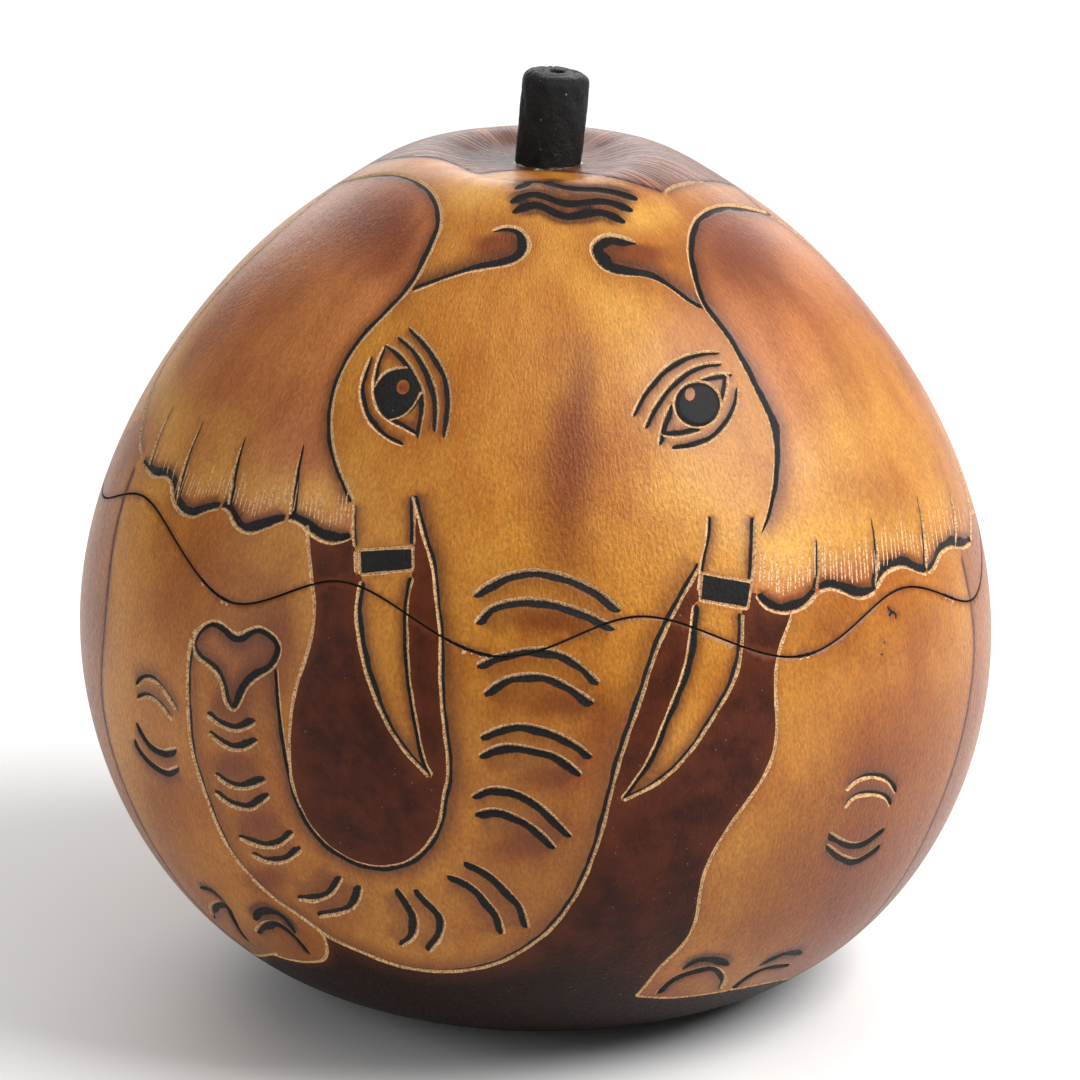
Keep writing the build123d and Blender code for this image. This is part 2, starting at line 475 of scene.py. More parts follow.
def carveHead():
    for wave in ([(514, 190), (533, 182), (565, 187), (605, 190), (640, 200)],
                 [(509, 204), (533, 194), (565, 203), (601, 201), (635, 212)],
                 [(511, 214), (536, 205), (565, 216), (597, 212), (627, 224)]):
        front("burn", 1, wave)
    front("outline", -1, [(491, 232), (504, 227), (520, 230), (528, 243), (523, 256), (504, 265),
            (472, 270), (440, 280), (411, 291)], black=[0.6, 1.1, 1.0, 0.5, 0.4], pale=0.36, depth=0.14,
            halo=2.0, scorch=0.9, ends=(1.5, 0.4))
    front("outline", 1, [(638, 243), (619, 236), (603, 236), (592, 246), (595, 259), (612, 272), (644, 276),
            (670, 287), (692, 303), (704, 309)], black=[1.1, 1.8, 1.4, 0.6, 0.4], halo=2.2, scorch=0.9,
            ends=(1.5, 0.4))
    lids = {
        -1: [[(408, 326), (424, 341), (437, 358), (446, 376), (450, 398), (449, 418), (444, 440)],
             [(397, 335), (411, 346), (422, 360), (431, 377), (436, 395), (437, 412), (435, 434)],
             [(384, 344), (397, 351), (408, 363), (416, 376), (422, 390), (424, 404), (422, 418), (418, 440)],
             [(374, 388), (380, 378), (391, 370), (409, 368)],
             [(632, 418), (642, 396), (658, 375), (676, 360), (696, 353), (721, 352)],
             [(644, 430), (653, 409), (667, 389), (682, 374), (700, 365), (723, 363)],
             [(727, 373), (727, 387), (723, 402)],
             [(738, 386), (737, 404), (729, 422), (711, 440), (693, 447), (670, 449)]],
        1: [[(372, 354), (364, 373), (360, 390), (362, 405), (368, 420), (380, 433), (392, 441), (405, 446)],
            [(385, 345), (378, 360), (374, 378), (374, 398), (379, 411), (388, 420), (402, 427), (418, 436)],
            [(388, 419), (400, 416), (411, 407), (420, 390)],
            [(734, 374), (716, 374), (699, 380)],
            [(672, 403), (664, 420), (659, 447)],
            [(660, 434), (675, 436), (689, 434), (703, 430)]],
    }
    for side, lines in lids.items():
        for line in lines:
            front("fine", side, line, black=[0.35, 0.6, 0.6, 0.4])
    for name, x, y, rx, ry, tilt in (("fence", 398, 394, 22, 24, 0.3), ("fine", 698, 404, 23, 22.5, 0),
                                     ("fence", 403, 387, 6.5, 7.5, 0.2), ("fence", 690, 394, 5, 7, 0.2)):
        ring = [(x + rx * math.cos(t) - tilt * ry * math.sin(t) * 0.3, y + ry * math.sin(t))
                for t in np.arange(8) * math.pi / 4]
        front(name, -1, ring, closed=True, wall=True)


def carveTusks():
    front("outline", 1, [(355, 503), (354, 520), (355, 549)], black=0.25)
    front("edge", 1, [(355, 549), (356, 575)])
    bands = ([(359, 550), (359, 550), (413, 547), (413, 547), (413, 570), (413, 570), (360, 575), (360, 575)],
             [(702, 573), (702, 573), (752, 582), (752, 582), (748, 609), (748, 609), (700, 600), (700, 600)])
    for band in bands:
        front("edge", 1, band, closed=True, pale=0.2, black=0.2)
    front("outline", 1, [(362, 579), (357, 604), (359, 636), (365, 667), (377, 701), (394, 735), (411, 757),
            (431, 778)], black=[0.5, 0.8, 0.5, 0.3], scorch=0.8)
    front("outline", -1, [(412, 575), (407, 600), (406, 636), (408, 672), (412, 704), (418, 735),
            (425, 764), (432, 778)], black=0.35)
    front("outline", 1, [(412, 494), (418, 512), (425, 539), (433, 566), (437, 600), (441, 636), (441, 672),
            (443, 709), (447, 745), (448, 781), (444, 800), (441, 820), (429, 844), (412, 860), (390, 867),
            (366, 866), (342, 856), (320, 839), (303, 815), (291, 781), (284, 745), (279, 708), (276, 667)],
            black=[0.5, 0.35, 0.4, 0.45, 0.5, 0.4, 0.3], halo=1.6)
    front("outline", -1, [(412, 494), (413, 515), (413, 547)], black=0.35)
    front("outline", 1, [(709, 514), (707, 541), (703, 559), (700, 594)], black=0.25)
    front("outline", -1, [(755, 515), (754, 541), (753, 568), (751, 583)], black=[0.5, 0.6, 0.5])
    front("outline", 1, [(695, 603), (691, 635), (684, 673), (669, 712), (651, 756), (621, 801)],
            black=[0.7, 0.7, 0.5, 0.3])
    front("outline", -1, [(742, 612), (741, 647), (734, 679), (716, 712), (693, 747), (666, 776),
            (621, 801)], black=[0.6, 0.5, 0.4, 0.3])


def carveTrunk():
    front("outline", -1, [(701, 562), (687, 588), (669, 621), (651, 665), (637, 709), (619, 761),
            (604, 820), (590, 864), (573, 899), (553, 926), (529, 946), (497, 963), (459, 971), (430, 971),
            (395, 965), (359, 951), (327, 936), (308, 922), (279, 902), (250, 876), (228, 847), (211, 810),
            (199, 776), (191, 745), (188, 708), (188, 664), (192, 636)], black=[0.5, 0.6, 0.5, 0.5, 0.4,
            0.4, 0.6, 0.6], halo=2.0, scorch=0.65)
    front("outline", -1, [(199, 630), (212, 622), (225, 627), (236, 635), (249, 630), (259, 628),
            (272, 635), (279, 645), (277, 660), (268, 671), (255, 679), (246, 688), (240, 701), (233, 710),
            (226, 703), (223, 690), (216, 673), (207, 664), (197, 656), (193, 645)], closed=True,
            black=[0.5, 0.8, 0.6, 0.8, 0.9, 0.7, 0.6], halo=1.6, scorch=0.8)
    front("edge", 1, [(192, 636), (194, 632), (199, 630)])
    rings = {
        -1: [[(471, 597), (486, 585), (510, 574), (542, 571), (571, 578), (600, 592), (623, 612)],
             [(474, 625), (488, 609), (510, 601), (542, 600), (571, 607), (600, 619), (617, 630)],
             [(475, 666), (491, 658), (515, 651), (542, 649), (566, 655), (583, 667), (601, 684)],
             [(482, 695), (498, 682), (522, 675), (547, 676), (571, 687), (596, 704)],
             [(478, 738), (500, 728), (526, 725), (555, 733), (576, 744), (594, 758)],
             [(477, 757), (500, 746), (529, 748), (558, 756), (583, 776)],
             [(470, 798), (488, 789), (514, 791), (541, 806), (558, 822), (573, 838)],
             [(473, 814), (494, 810), (517, 817), (538, 830), (557, 850)],
             [(445, 875), (467, 883), (488, 902), (500, 920), (503, 936)],
             [(462, 861), (488, 873), (508, 891), (522, 908), (528, 930)],
             [(415, 888), (431, 905), (443, 920), (439, 940), (428, 953)],
             [(396, 887), (407, 902), (417, 924), (412, 939), (400, 947)]],
        1: [[(317, 917), (337, 914), (354, 907), (361, 885)],
            [(296, 899), (315, 901), (332, 893), (342, 876)],
            [(250, 854), (267, 862), (286, 861), (302, 848)],
            [(237, 837), (254, 845), (274, 847), (294, 832)],
            [(213, 792), (230, 805), (250, 809), (270, 794)],
            [(213, 773), (230, 786), (247, 788), (267, 780)],
            [(207, 731), (221, 744), (238, 750), (259, 740)],
            [(205, 713), (221, 726), (237, 730), (257, 721)]],
    }
    for side, lines in rings.items():
        for k, line in enumerate(lines):
            front("ring", side, line, halo=3.2 if k % 2 else 2.2, scorch=0.62)


def carveLegs():
    front("edge", 1, [(306, 523), (309, 554), (312, 583), (314, 601), (313, 627), (307, 653), (297, 684),
            (291, 714), (289, 747), (292, 784), (301, 810)])
    front("edge", 1, [(793, 612), (786, 632), (779, 653), (776, 694), (777, 729), (772, 759), (757, 788),
            (734, 820), (711, 858), (701, 888), (695, 923), (682, 946), (658, 970), (643, 989), (636, 996),
            (636, 996), (663, 998), (693, 996), (737, 989), (781, 980)])
    front("edge", 1, [(320, 931), (327, 948), (324, 959), (313, 962), (291, 960), (271, 954)])
    for line in ([(135, 686), (145, 678), (158, 684), (168, 697), (179, 715)],
                 [(136, 699), (147, 696), (160, 705), (173, 722)],
                 [(845, 792), (857, 781), (877, 777), (892, 785), (896, 794)],
                 [(844, 810), (854, 798), (871, 794), (886, 798), (891, 807)]):
        front("ring", 1, line, black=0.45, pale=0.3)
    for line in ([(254, 921), (259, 913), (270, 911), (284, 918), (296, 935)],
                 [(681, 971), (697, 961), (713, 960), (730, 966)],
                 [(757, 967), (777, 957), (790, 953), (803, 954)]):
        front("burn", 1, line, black=1.0)
    front("burn", 1, [(199, 888), (208, 889), (218, 896), (228, 906)], black=0.6)
    for line in ([(256, 933), (260, 926), (270, 922), (288, 930), (311, 956)],
                 [(656, 995), (673, 979), (697, 970), (719, 970), (725, 979), (719, 991)],
                 [(728, 992), (745, 978), (769, 967), (791, 965)],
                 [(213, 918), (211, 906), (221, 903), (236, 923), (250, 943)]):
        front("ring", -1, line, black=[0.6, 0.9, 0.7, 0.4], pale=0.3)
    for line in ([(889, 590), (890, 596)], [(887, 604), (891, 611), (896, 614), (895, 621)],
                 [(885, 640), (884, 645)], [(880, 655), (884, 654)], [(951, 638), (951, 641)],
                 [(893, 611), (888, 617)]):
        front("fleck", 1, line)
    for line in ([(136, 721), (143, 735), (153, 747), (164, 751), (177, 748)],
                 [(134, 737), (142, 753), (155, 766), (166, 771), (179, 766)],
                 [(829, 832), (842, 841), (858, 844), (874, 836), (886, 827)],
                 [(826, 844), (836, 852), (857, 860), (871, 852), (882, 844)]):
        front("ring", -1, line, black=0.7, pale=0.3)


# What the photograph doesn't show, in degrees of azimuth and millimetres of height.
# Behind the animal both sides are alike, counted from the middle of the back.

def bothSides(name, side, spots, **changes):
    for sign in (1, -1):
        around(name, side * sign, [(180 + sign * b, z) for b, z in spots], **changes)


def carveBack():
    around("outline", -1, [(91.7, 93.9), (96, 89.5), (97, 82), (95, 74), (90, 66), (84, 60), (77.2, 56.9)],
            black=0.3)
    around("seam", 1, [(-72.5, 67.1), (-71.1, 61), (-68.4, 53.8), (-67.6, 47.5), (-68.5, 39.8), (-67, 30),
            (-64, 20), (-60, 12), (-54, 9)])
    around("seam", 1, [(71, 56.8), (70.8, 52), (70.5, 47), (68.5, 41), (66, 34), (63.5, 27), (61.5, 19),
            (59, 11), (56, 6)])
    around("edge", 1, [(-81, 71.5), (-91, 64), (-97, 54), (-99, 43), (-98, 31), (-101, 19), (-106, 11),
            (-111, 6)])
    around("edge", 1, [(81, 59), (91, 56), (97, 49), (99, 40), (98, 31), (101, 19), (106, 11), (111, 6)])
    around("edge", 1, [(-43.6, 12.4), (-49, 10.6), (-54, 9), (-72, 7), (-92, 6), (-111, 6)])
    around("edge", 1, [(44.6, 7.6), (50, 6.4), (56, 6), (75, 5.4), (95, 5.6), (111, 6)])
    bothSides("edge", 1, [(69, 6), (55, 4.6), (35, 4.2), (12, 5), (12, 5), (14, 15), (10, 27), (4, 33),
            (1.8, 34.5)])
    around("outline", 1, [(177.4, 88), (177.4, 70), (178, 52), (178.2, 40)], black=0.3)
    around("outline", -1, [(182.6, 88), (182.6, 70), (182, 52), (181.8, 40)], black=0.3)
    tuft = [(178.2, 40), (178.2, 40), (176.6, 35), (176.9, 31), (180.3, 25.5), (180.3, 25.5), (183.3, 31),
            (183.4, 35), (181.8, 40), (181.8, 40)]
    around("edge", 1, tuft, closed=True, pale=0.25, black=0.25)
    for b, z in ((45, 26.5), (45, 25)):
        bothSides("ring", 1, [(b + 6, z), (b + 3, z + 2.4), (b - 2, z + 2.8), (b - 6, z + 0.6)], black=0.5)
    for b, z in ((46, 20), (46, 18.2)):
        bothSides("ring", -1, [(b + 6, z), (b + 3, z - 2), (b - 2, z - 2.2), (b - 6, z - 0.4)], black=0.5)
    for b in (24, 38, 52):
        bothSides("ring", 1, [(b + 6, 5.4), (b + 4, 8.2), (b, 9.2), (b - 4, 8.2), (b - 5, 5.6)], black=0.45)
        bothSides("ring", 1, [(b + 4.4, 10.4), (b, 11.3), (b - 4, 10.4)], black=0.45)
    for row in range(3):
        bothSides("ring", -1, [(8, 84 - 3.4 * row), (14, 83.5 - 3.4 * row), (20, 80.5 - 3.4 * row)])
        bothSides("ring", 1, [(66 - 2 * row, 84 - 4.5 * row), (61, 80 - 4.5 * row), (58, 75 - 4.5 * row)])
    bothSides("ring", 1, [(62, 62), (54, 56), (49, 48), (48, 42)], ends=(4, 4))
    bothSides("ring", 1, [(57, 60), (50, 53.5), (45.5, 46)], ends=(4, 4))
    bothSides("ring", -1, [(22, 44), (27, 40), (34, 38.5)], ends=(3, 3))
    for k in range(5):
        b = -2.1 + k * 1.05
        around("hatch", 1, [(180 + b * 0.6, 38), (180.2 + b, 32), (180.3 + b * 0.5, 28.5)], pale=0.2,
                black=0.2)


def carveCrown():
    front("seam", 1, [(352, 171), (372, 163), (394, 158.5), (425, 157), (450, 162), (466, 169), (477, 174)])
    front("seam", 1, [(477, 174), (495, 171.5), (517, 170), (545, 170), (583, 173), (620, 179), (647, 187),
            (665, 193)])
    front("seam", 1, [(665, 193), (673, 188), (689, 184), (711, 181.5), (727, 184), (753, 193)])
    front("outline", -1, [(665, 193), (673, 188), (689, 184), (706, 182)], black=0.1, pale=0.4,
            ends=(0.2, 4.0))
    atCrown("seam", 1, [(88, 28), (97, 25.5), (112, 22.5), (112, 22.5), (122, 18), (137, 15.4), (152, 15.2),
            (167, 18.2), (167, 18.2), (178, 15), (194, 13.4), (210, 14.2), (226, 18), (226, 18), (236, 18),
            (254, 21), (266, 26)])


def carveFoot():
    rng = np.random.default_rng(4)
    spots = [(a, 0.09 + 0.1 * rng.random()) for a in range(-180, 180, 20)]
    around("edge", 1, spots + [(180, spots[0][1])], pale=0.3, black=0.3)


# Closes the small gaps between the ends of lines that close off areas
def bridgeGaps(reach=2.6, touching=0.02):
    walls = [stroke for stroke in strokes if stroke["wall"]]
    for stroke, place in [(stroke, place) for stroke in walls for place in (0, -1) if not stroke["closed"]]:
        end = stroke["path"][place]
        r = along(skin, end[1], "r")
        nearest, step = reach, None
        for other in walls:
            if other is stroke:
                continue
            off = other["path"] - end
            off[:, 0] = wrapped(off[:, 0])
            gap = np.hypot(off[:, 0], off[:, 1]) * r
            if gap.min() < nearest:
                nearest, step = gap.min(), off[gap.argmin()]
        if step is not None and nearest > touching:
            carve("fence", 1, np.array([end, end + step * 0.5, end + step]))


carveEars()
hatchEars()
carveHead()
carveTusks()
carveTrunk()
carveLegs()
carveBack()
carveCrown()
carveFoot()
bridgeGaps()
print("strokes laid out:", len(strokes))


# How far each point lies from a stroke, on which side, and where along it
def nearestOn(stroke, az, u, r, reach, run=16):
    best = np.full(len(az), 1e9)
    signed, place = np.zeros(len(az)), np.zeros(len(az))
    path = stroke["path"]
    for start in range(0, len(path) - 1, run):
        part = path[start:start + run + 1]
        middle = part.mean(0)
        da, du = wrapped(az - middle[0]), u - middle[1]
        half = np.abs(part - middle).max(0)
        near = np.where((np.abs(da) < half[0] + reach / r) & (np.abs(du) < half[1] + reach / r))[0]
        if not len(near):
            continue
        here = np.stack([da[near], du[near]], 1)[:, None]
        first, step = (part[:-1] - middle)[None], (part[1:] - part[:-1])[None]
        t = np.clip(((here - first) * step).sum(2) / (step**2).sum(2), 0, 1)
        off = here - first - t[..., None] * step
        gap = np.hypot(off[..., 0], off[..., 1]) * r[near, None]
        pick, rows = gap.argmin(1), np.arange(len(near))
        cross = step[0, pick, 0] * off[rows, pick, 1] - step[0, pick, 1] * off[rows, pick, 0]
        closer = gap[rows, pick] < best[near]
        chosen = near[closer]
        best[chosen] = gap[rows, pick][closer]
        signed[chosen] = np.sign(cross)[closer] * best[chosen] * stroke["side"]
        place[chosen] = (start + pick + t[rows, pick])[closer]
    hit = np.where(best < reach)[0]
    return hit, signed[hit], place[hit]


def strokeFields(az, u, reach=3.0, fullWidth=0.16, paleSideHalo=0.25):
    r = along(skin, u, "r")
    fields = {name: np.zeros(len(az)) for name in ("pale", "black", "depth", "halo")}
    for stroke in strokes:
        if stroke["cut"] == "none":
            continue
        hit, c, place = nearestOn(stroke, az, u, r, reach)
        if not len(hit):
            continue
        black, pale, depth, scorch = [np.interp(place, np.arange(len(stroke["path"])), stroke[name])
                                      for name in ("black", "pale", "depth", "scorch")]
        black, pale = np.maximum(black, 1e-3), np.maximum(pale, 1e-3)
        x = np.where(c < 0, c / pale, c / black)
        section = crossSections[stroke["cut"]]
        outside = np.maximum(np.abs(c) - np.where(c > 0, black, pale), 0)
        share = np.where(c > 0, 1.0, 1.0 if stroke["cut"] == "burn" else paleSideHalo)
        found = {"depth": depth * np.interp(x, crossSteps, section["depth"]),
                 "halo": scorch * share * np.exp(-(outside / stroke["halo"]) ** 2)}
        for name, width in (("pale", pale), ("black", black)):
            level = np.interp(x, crossSteps, section[name])
            found[name] = level * np.clip(width / fullWidth, 0, 1) * stroke["strength"]
        for name, level in found.items():
            fields[name][hit] = np.maximum(fields[name][hit], level)
    return fields


# Burning and bleaching of the skin, with painted shade low down and painted light on the lit right side, in
# pixels of the photograph: centre, reach across and up, and strength (positive is browner, negative more
# golden)
frontShades = [
    (574, 430, 24, 130, 0.75), (590, 350, 16, 60, 0.35), (545, 520, 30, 60, 0.3), (565, 245, 60, 36, -0.55),
    # The golden entries on the right cheek, from (660, 330), and on the right ear, from (880, 430), are
    # partly painted light where the key lamp falls
    (660, 330, 60, 60, -0.35), (470, 420, 40, 90, -0.15), (480, 540, 40, 50, -0.15),
    (690, 480, 40, 50, -0.45), (560, 470, 70, 60, 0.3), (560, 560, 50, 30, 0.35), (640, 500, 30, 40, -0.3),
    (384, 560, 26, 18, 0.25), (725, 560, 26, 16, 0.1), (650, 215, 50, 20, -0.8), (590, 300, 70, 30, -0.4),
    (480, 195, 60, 24, -0.7), (500, 246, 24, 12, 2.2), (630, 255, 30, 12, 2.2), (360, 230, 50, 50, 0.7),
    (310, 380, 30, 50, 0.2), (230, 430, 50, 34, -0.5), (210, 480, 60, 30, -0.5), (300, 500, 60, 30, -0.45),
    (165, 400, 26, 70, -0.65), (405, 235, 36, 50, 0.6), (405, 300, 20, 36, 0.5), (270, 490, 100, 24, -0.2),
    (200, 300, 40, 60, -0.3), (735, 250, 50, 60, 1.15), (770, 330, 30, 50, 0.35), (880, 430, 70, 80, -0.45),
    (850, 540, 90, 40, -0.8), (780, 560, 40, 40, -0.5), (815, 465, 50, 50, -0.5), (940, 500, 40, 60, -0.4),
    (840, 360, 50, 50, -0.2), (150, 610, 50, 110, 0.3), (215, 560, 50, 50, 0.3), (290, 620, 22, 70, 0.3),
    (160, 800, 40, 90, 0.4), (120, 600, 14, 120, -0.3), (250, 560, 30, 20, -0.2), (270, 940, 50, 24, 0.3),
    # The broad entries on the lower right leg, (870, 750) and (810, 900), are partly painted shade
    (262, 650, 40, 110, 0.9), (870, 750, 110, 170, 0.5), (820, 630, 50, 40, 0.35),
    (810, 900, 110, 80, 0.55), (930, 640, 26, 60, 0.2), (860, 820, 60, 60, 0.2), (700, 980, 60, 20, -0.2),
    (870, 760, 40, 30, 0.2), (540, 640, 60, 24, 0.2), (640, 640, 26, 40, 0.2), (600, 720, 26, 60, 0.6),
    (560, 840, 40, 60, 0.6), (460, 700, 20, 90, 0.5), (360, 910, 60, 40, 0.2), (240, 780, 30, 60, 0.1),
    (210, 700, 24, 60, 0.1), (700, 700, 30, 90, -0.2), (410, 920, 40, 30, -0.1), (236, 655, 30, 30, 0.2),
    (545, 622, 44, 16, 0.9), (545, 706, 44, 15, 0.9), (540, 778, 44, 15, 0.8), (515, 845, 30, 20, 0.8),
    (232, 764, 24, 14, 0.9), (268, 878, 24, 14, 0.8), (230, 700, 18, 16, 0.9), (258, 822, 22, 14, 0.9),
    # The last two entries, along the bottom, are painted shade
    (330, 890, 22, 20, 0.6), (403, 387, 7, 7, 1.6), (560, 1000, 160, 30, 0.3), (380, 990, 120, 30, 0.3),
]
# The same on the sides and back, in degrees and millimetres
backShades = [
    (180, 80, 16, 18, 0.5), (150, 60, 22, 20, -0.3), (210, 60, 22, 20, -0.25), (130, 76, 20, 16, 0.35),
    (230, 78, 20, 14, 0.35), (120, 35, 16, 22, 0.3), (240, 35, 16, 22, 0.3), (145, 22, 14, 14, -0.2),
    (215, 22, 14, 14, -0.2), (165, 44, 12, 10, 0.25), (195, 44, 12, 10, 0.25), (108, 86, 12, 10, 0.3),
    (-108, 88, 12, 10, 0.3), (180, 62, 12, 10, 0.2), (160, 10, 20, 8, 0.3), (200, 10, 20, 8, 0.3),
]


# The shade field: burning and bleaching, with painted shade low down and painted light on the lit right side
def shadeField(az, u):
    z = along(skin, u, "z")
    # Painted shade: the skin is browned towards the foot, where less light falls
    total = 0.75 * np.clip(1 - z / 42, 0, 1)      # browner towards the foot
    pixels = toPixels(onSkin(az, u))
    seen = np.clip(facing(az, u) * 6, 0, 1)
    for x, y, rx, ry, strength in frontShades:
        total += seen * strength * np.exp(-((pixels[:, 0] - x) / rx) ** 2 - ((pixels[:, 1] - y) / ry) ** 2)
    for a, height, ra, rz, strength in backShades:
        off = wrapped(np.degrees(az) - a, 360)
        total += (1 - seen) * strength * np.exp(-(off / ra) ** 2 - ((z - height) / rz) ** 2)
    return total


# Areas that the lines close off: which colour fills them, and a spot inside each
areaTones = {
    "skin": (0, 0, 0, 0),
    "ear": (1, 0, 0, 0),
    "ground": (0, 1, 0, 0),
    "crown": (0, 0, 1, 0),
    "ink": (0, 0, 0, 1),
    "heart": (0.7, 0, 0, 0),
    "strip": (0.9, 0.28, 0, 0),
    "bare": (0, 0, 0, 0),
}
areaNames = list(areaTones)
areaSpots = [
    ("ear", fromPixels([(240, 350), (860, 480)])),
    ("ink", fromPixels([(386, 562), (724, 592), (390, 408), (706, 414)])),
    ("heart", fromPixels([(237, 655)])),
    ("ground", fromPixels([(335, 567), (422, 585), (685, 610), (765, 625), (330, 700), (700, 780),
                           (430, 990)])),
    ("heart", fromPixels([(403, 387), (690, 394)])),
    ("strip", fromSpots([(-80, 67.5), (79, 53), (-83, 40), (83, 40)])),
    ("ground", fromSpots([(172, 20), (188, 20), (180, 2.5)])),
    ("ink", fromSpots([(180.2, 35)])),
    ("crown", fromCrown([(180, 9.5)])),
    ("bare", np.array([[0.0, skin["u"][np.searchsorted(skin["s"], 9.0)]]])),
]


# Each shell is triangulated flat, as it would look from its pole. Sign is 1 for the lid
# and -1 for the base, and the mean height of the saw cut is the circle of radius 1.

def toPlane(surface, az, u, sign):
    rho = np.exp(sign * (turnAtHeight(surface, sawCut["height"]) - u))
    return np.round(np.stack([rho * np.sin(az), -rho * np.cos(az)], -1), 6) + 0.0


def triangulate(surface, spots, edges, sign):
    points = np.vstack([toPlane(surface, spots[:, 0], spots[:, 1], sign), [(0, 0)]])
    plane, flatEdges, faces, origins, sources, _ = delaunay_2d_cdt(
        [Vector(point) for point in points], edges, [], 0, 1e-6, True)
    plane, faces = np.array([tuple(v) for v in plane]), np.array(faces)
    a, b, c = plane[faces[:, 0]], plane[faces[:, 1]], plane[faces[:, 2]]
    area = (b[:, 0] - a[:, 0]) * (c[:, 1] - a[:, 1]) - (b[:, 1] - a[:, 1]) * (c[:, 0] - a[:, 0])
    faces[area < 0] = faces[area < 0][:, ::-1]
    away = np.log(np.maximum(np.hypot(plane[:, 0], plane[:, 1]), 1e-9))
    u = np.clip(turnAtHeight(surface, sawCut["height"]) - sign * away, 0, surface["u"][-1])
    return {"plane": plane, "faces": faces, "az": np.arctan2(plane[:, 0], -plane[:, 1]), "u": u,
            "flatEdges": np.array(flatEdges), "origins": origins, "sources": sources}


def ringEdges(count):
    return [(i, (i + 1) % count) for i in range(count)]


def beyondRim(spots, rim, sign):
    return (spots[:, 1] - np.interp(spots[:, 0] % math.tau, rim[:, 0], rim[:, 1], period=math.tau)) * sign


# Rows of loosely spaced points over the rest of a shell, clear of its rim and its pole
def plainPoints(surface, rim, sign, poleTurn, spacing, clear, seed):
    rng = np.random.default_rng(seed)
    u, high = (rim[:, 1].min(), surface["u"][-1] - poleTurn) if sign > 0 else (poleTurn, rim[:, 1].max())
    spots = []
    while u < high:
        r = along(surface, u, "r")
        count = max(5, int(math.tau * r / spacing))
        az = (np.arange(count) + 0.5 * (len(spots) % 2)) * math.tau / count
        jitter = rng.uniform(-0.12, 0.12, (count, 2)) * spacing / r
        spots.append(np.stack([az + jitter[:, 0], np.full(count, u) + jitter[:, 1]], 1))
        u += spacing * 0.87 / r
    spots = np.vstack(spots)
    return spots[beyondRim(spots, rim, sign) > clear / gourd["radius"]]


def sidesOf(faces):
    return np.stack([faces, np.roll(faces, -1, 1)], 2).reshape(-1, 2)


def keysOf(pairs, count):
    pairs = np.sort(pairs, 1)
    return pairs[:, 0].astype(np.int64) * count + pairs[:, 1]


# Labels of the faces that are joined across any edge but the closed ones
def regions(shell, closed):
    faces, count = shell["faces"], len(shell["plane"])
    keys = keysOf(sidesOf(faces), count)
    order = np.argsort(keys, kind="stable")
    keys, owner = keys[order], np.repeat(np.arange(len(faces)), 3)[order]
    same = keys[:-1] == keys[1:]
    first, second = owner[:-1][same], owner[1:][same]
    picked = [i for i, source in enumerate(shell["sources"]) if any(closed[k] for k in source)]
    free = ~np.isin(keys[:-1][same], keysOf(shell["flatEdges"][picked], count))
    a, b = first[free], second[free]
    labels, before = np.arange(len(faces)), None
    while before is None or (labels != before).any():
        before = labels.copy()
        low = np.minimum(labels[a], labels[b])
        np.minimum.at(labels, labels[a].copy(), low)
        np.minimum.at(labels, labels[b].copy(), low)
        labels = labels[labels]
        labels = labels[labels]
    return labels, first, second


def keepInside(shell, closed):
    labels = regions(shell, closed)[0]
    centres = shell["plane"][shell["faces"]].mean(1)
    shell["faces"] = shell["faces"][labels == labels[np.hypot(centres[:, 0], centres[:, 1]).argmin()]]


def boundaryLoop(faces, count):
    edges = sidesOf(faces)
    _, index, times = np.unique(keysOf(edges, count), return_index=True, return_counts=True)
    after = {int(a): int(b) for a, b in edges[index[times == 1]]}
    loop = [next(iter(after))]
    while after[loop[-1]] != loop[0]:
        loop.append(after[loop[-1]])
    return loop


def smoothPlaces(spots):
    r, z = along(skin, spots[:, 1], "r"), along(skin, spots[:, 1], "z")
    return np.stack([r * np.sin(spots[:, 0]), -r * np.cos(spots[:, 0]), z], 1)


def carvedShell(sign):
    ring = np.arange(0, math.tau, sawCut["step"] / gourd["radius"])
    edgeHeight = cutHeight(ring) + sign * (sawCut["kerf"] / 2 + sawCut["bevel"] + chipDepth(ring))
    rim = np.stack([ring, turnAtHeight(skin, edgeHeight)], 1)
    spots, edges, kinds, count = [rim], ringEdges(len(rim)), ["rim"] * len(rim), len(rim)
    for stroke in strokes:
        path = stroke["path"]
        r = along(skin, path[:, 1], "r")
        forward = np.gradient(path, axis=0)
        forward /= np.linalg.norm(forward, axis=1)[:, None]
        normal = np.stack([-forward[:, 1], forward[:, 0]], 1) * stroke["side"]
        for x in {"pair": crossSteps, "line": crossSteps, "none": [0]}.get(stroke["cut"], crossSteps[1:-1]):
            width = x * (stroke["pale"] if x < 0 else stroke["black"])
            line = path + normal * (width / r)[:, None]
            keep = beyondRim(line, rim, sign) > -carving["pastRim"] / gourd["radius"]
            if x:
                keep &= np.abs(width) > carving["leastWidth"]
            index = count + np.cumsum(keep) - 1
            pairs = np.where(keep[:-1] & keep[1:])[0]
            edges += [(int(index[i]), int(index[i + 1])) for i in pairs]
            kinds += ["wall" if stroke["wall"] and x == 0 else "line"] * len(pairs)
            spots.append(line[keep])
            count += int(keep.sum())
    tree = KDTree(count)
    for i, place in enumerate(smoothPlaces(np.vstack(spots))):
        tree.insert(place, i)
    tree.balance()
    plain = plainPoints(skin, rim, sign, poleTurn=4.2, spacing=gourd["grid"], clear=0.3,
                        seed=3 if sign > 0 else 9)
    clear = carving["clear"] * gourd["grid"]
    spots.append(plain[[tree.find(place)[2] > clear for place in smoothPlaces(plain)]])
    shell = triangulate(skin, np.vstack(spots), edges, sign)
    keepInside(shell, [kind == "rim" for kind in kinds])
    shell["area"] = nameAreas(shell, [kind == "wall" for kind in kinds], sign)
    return shell


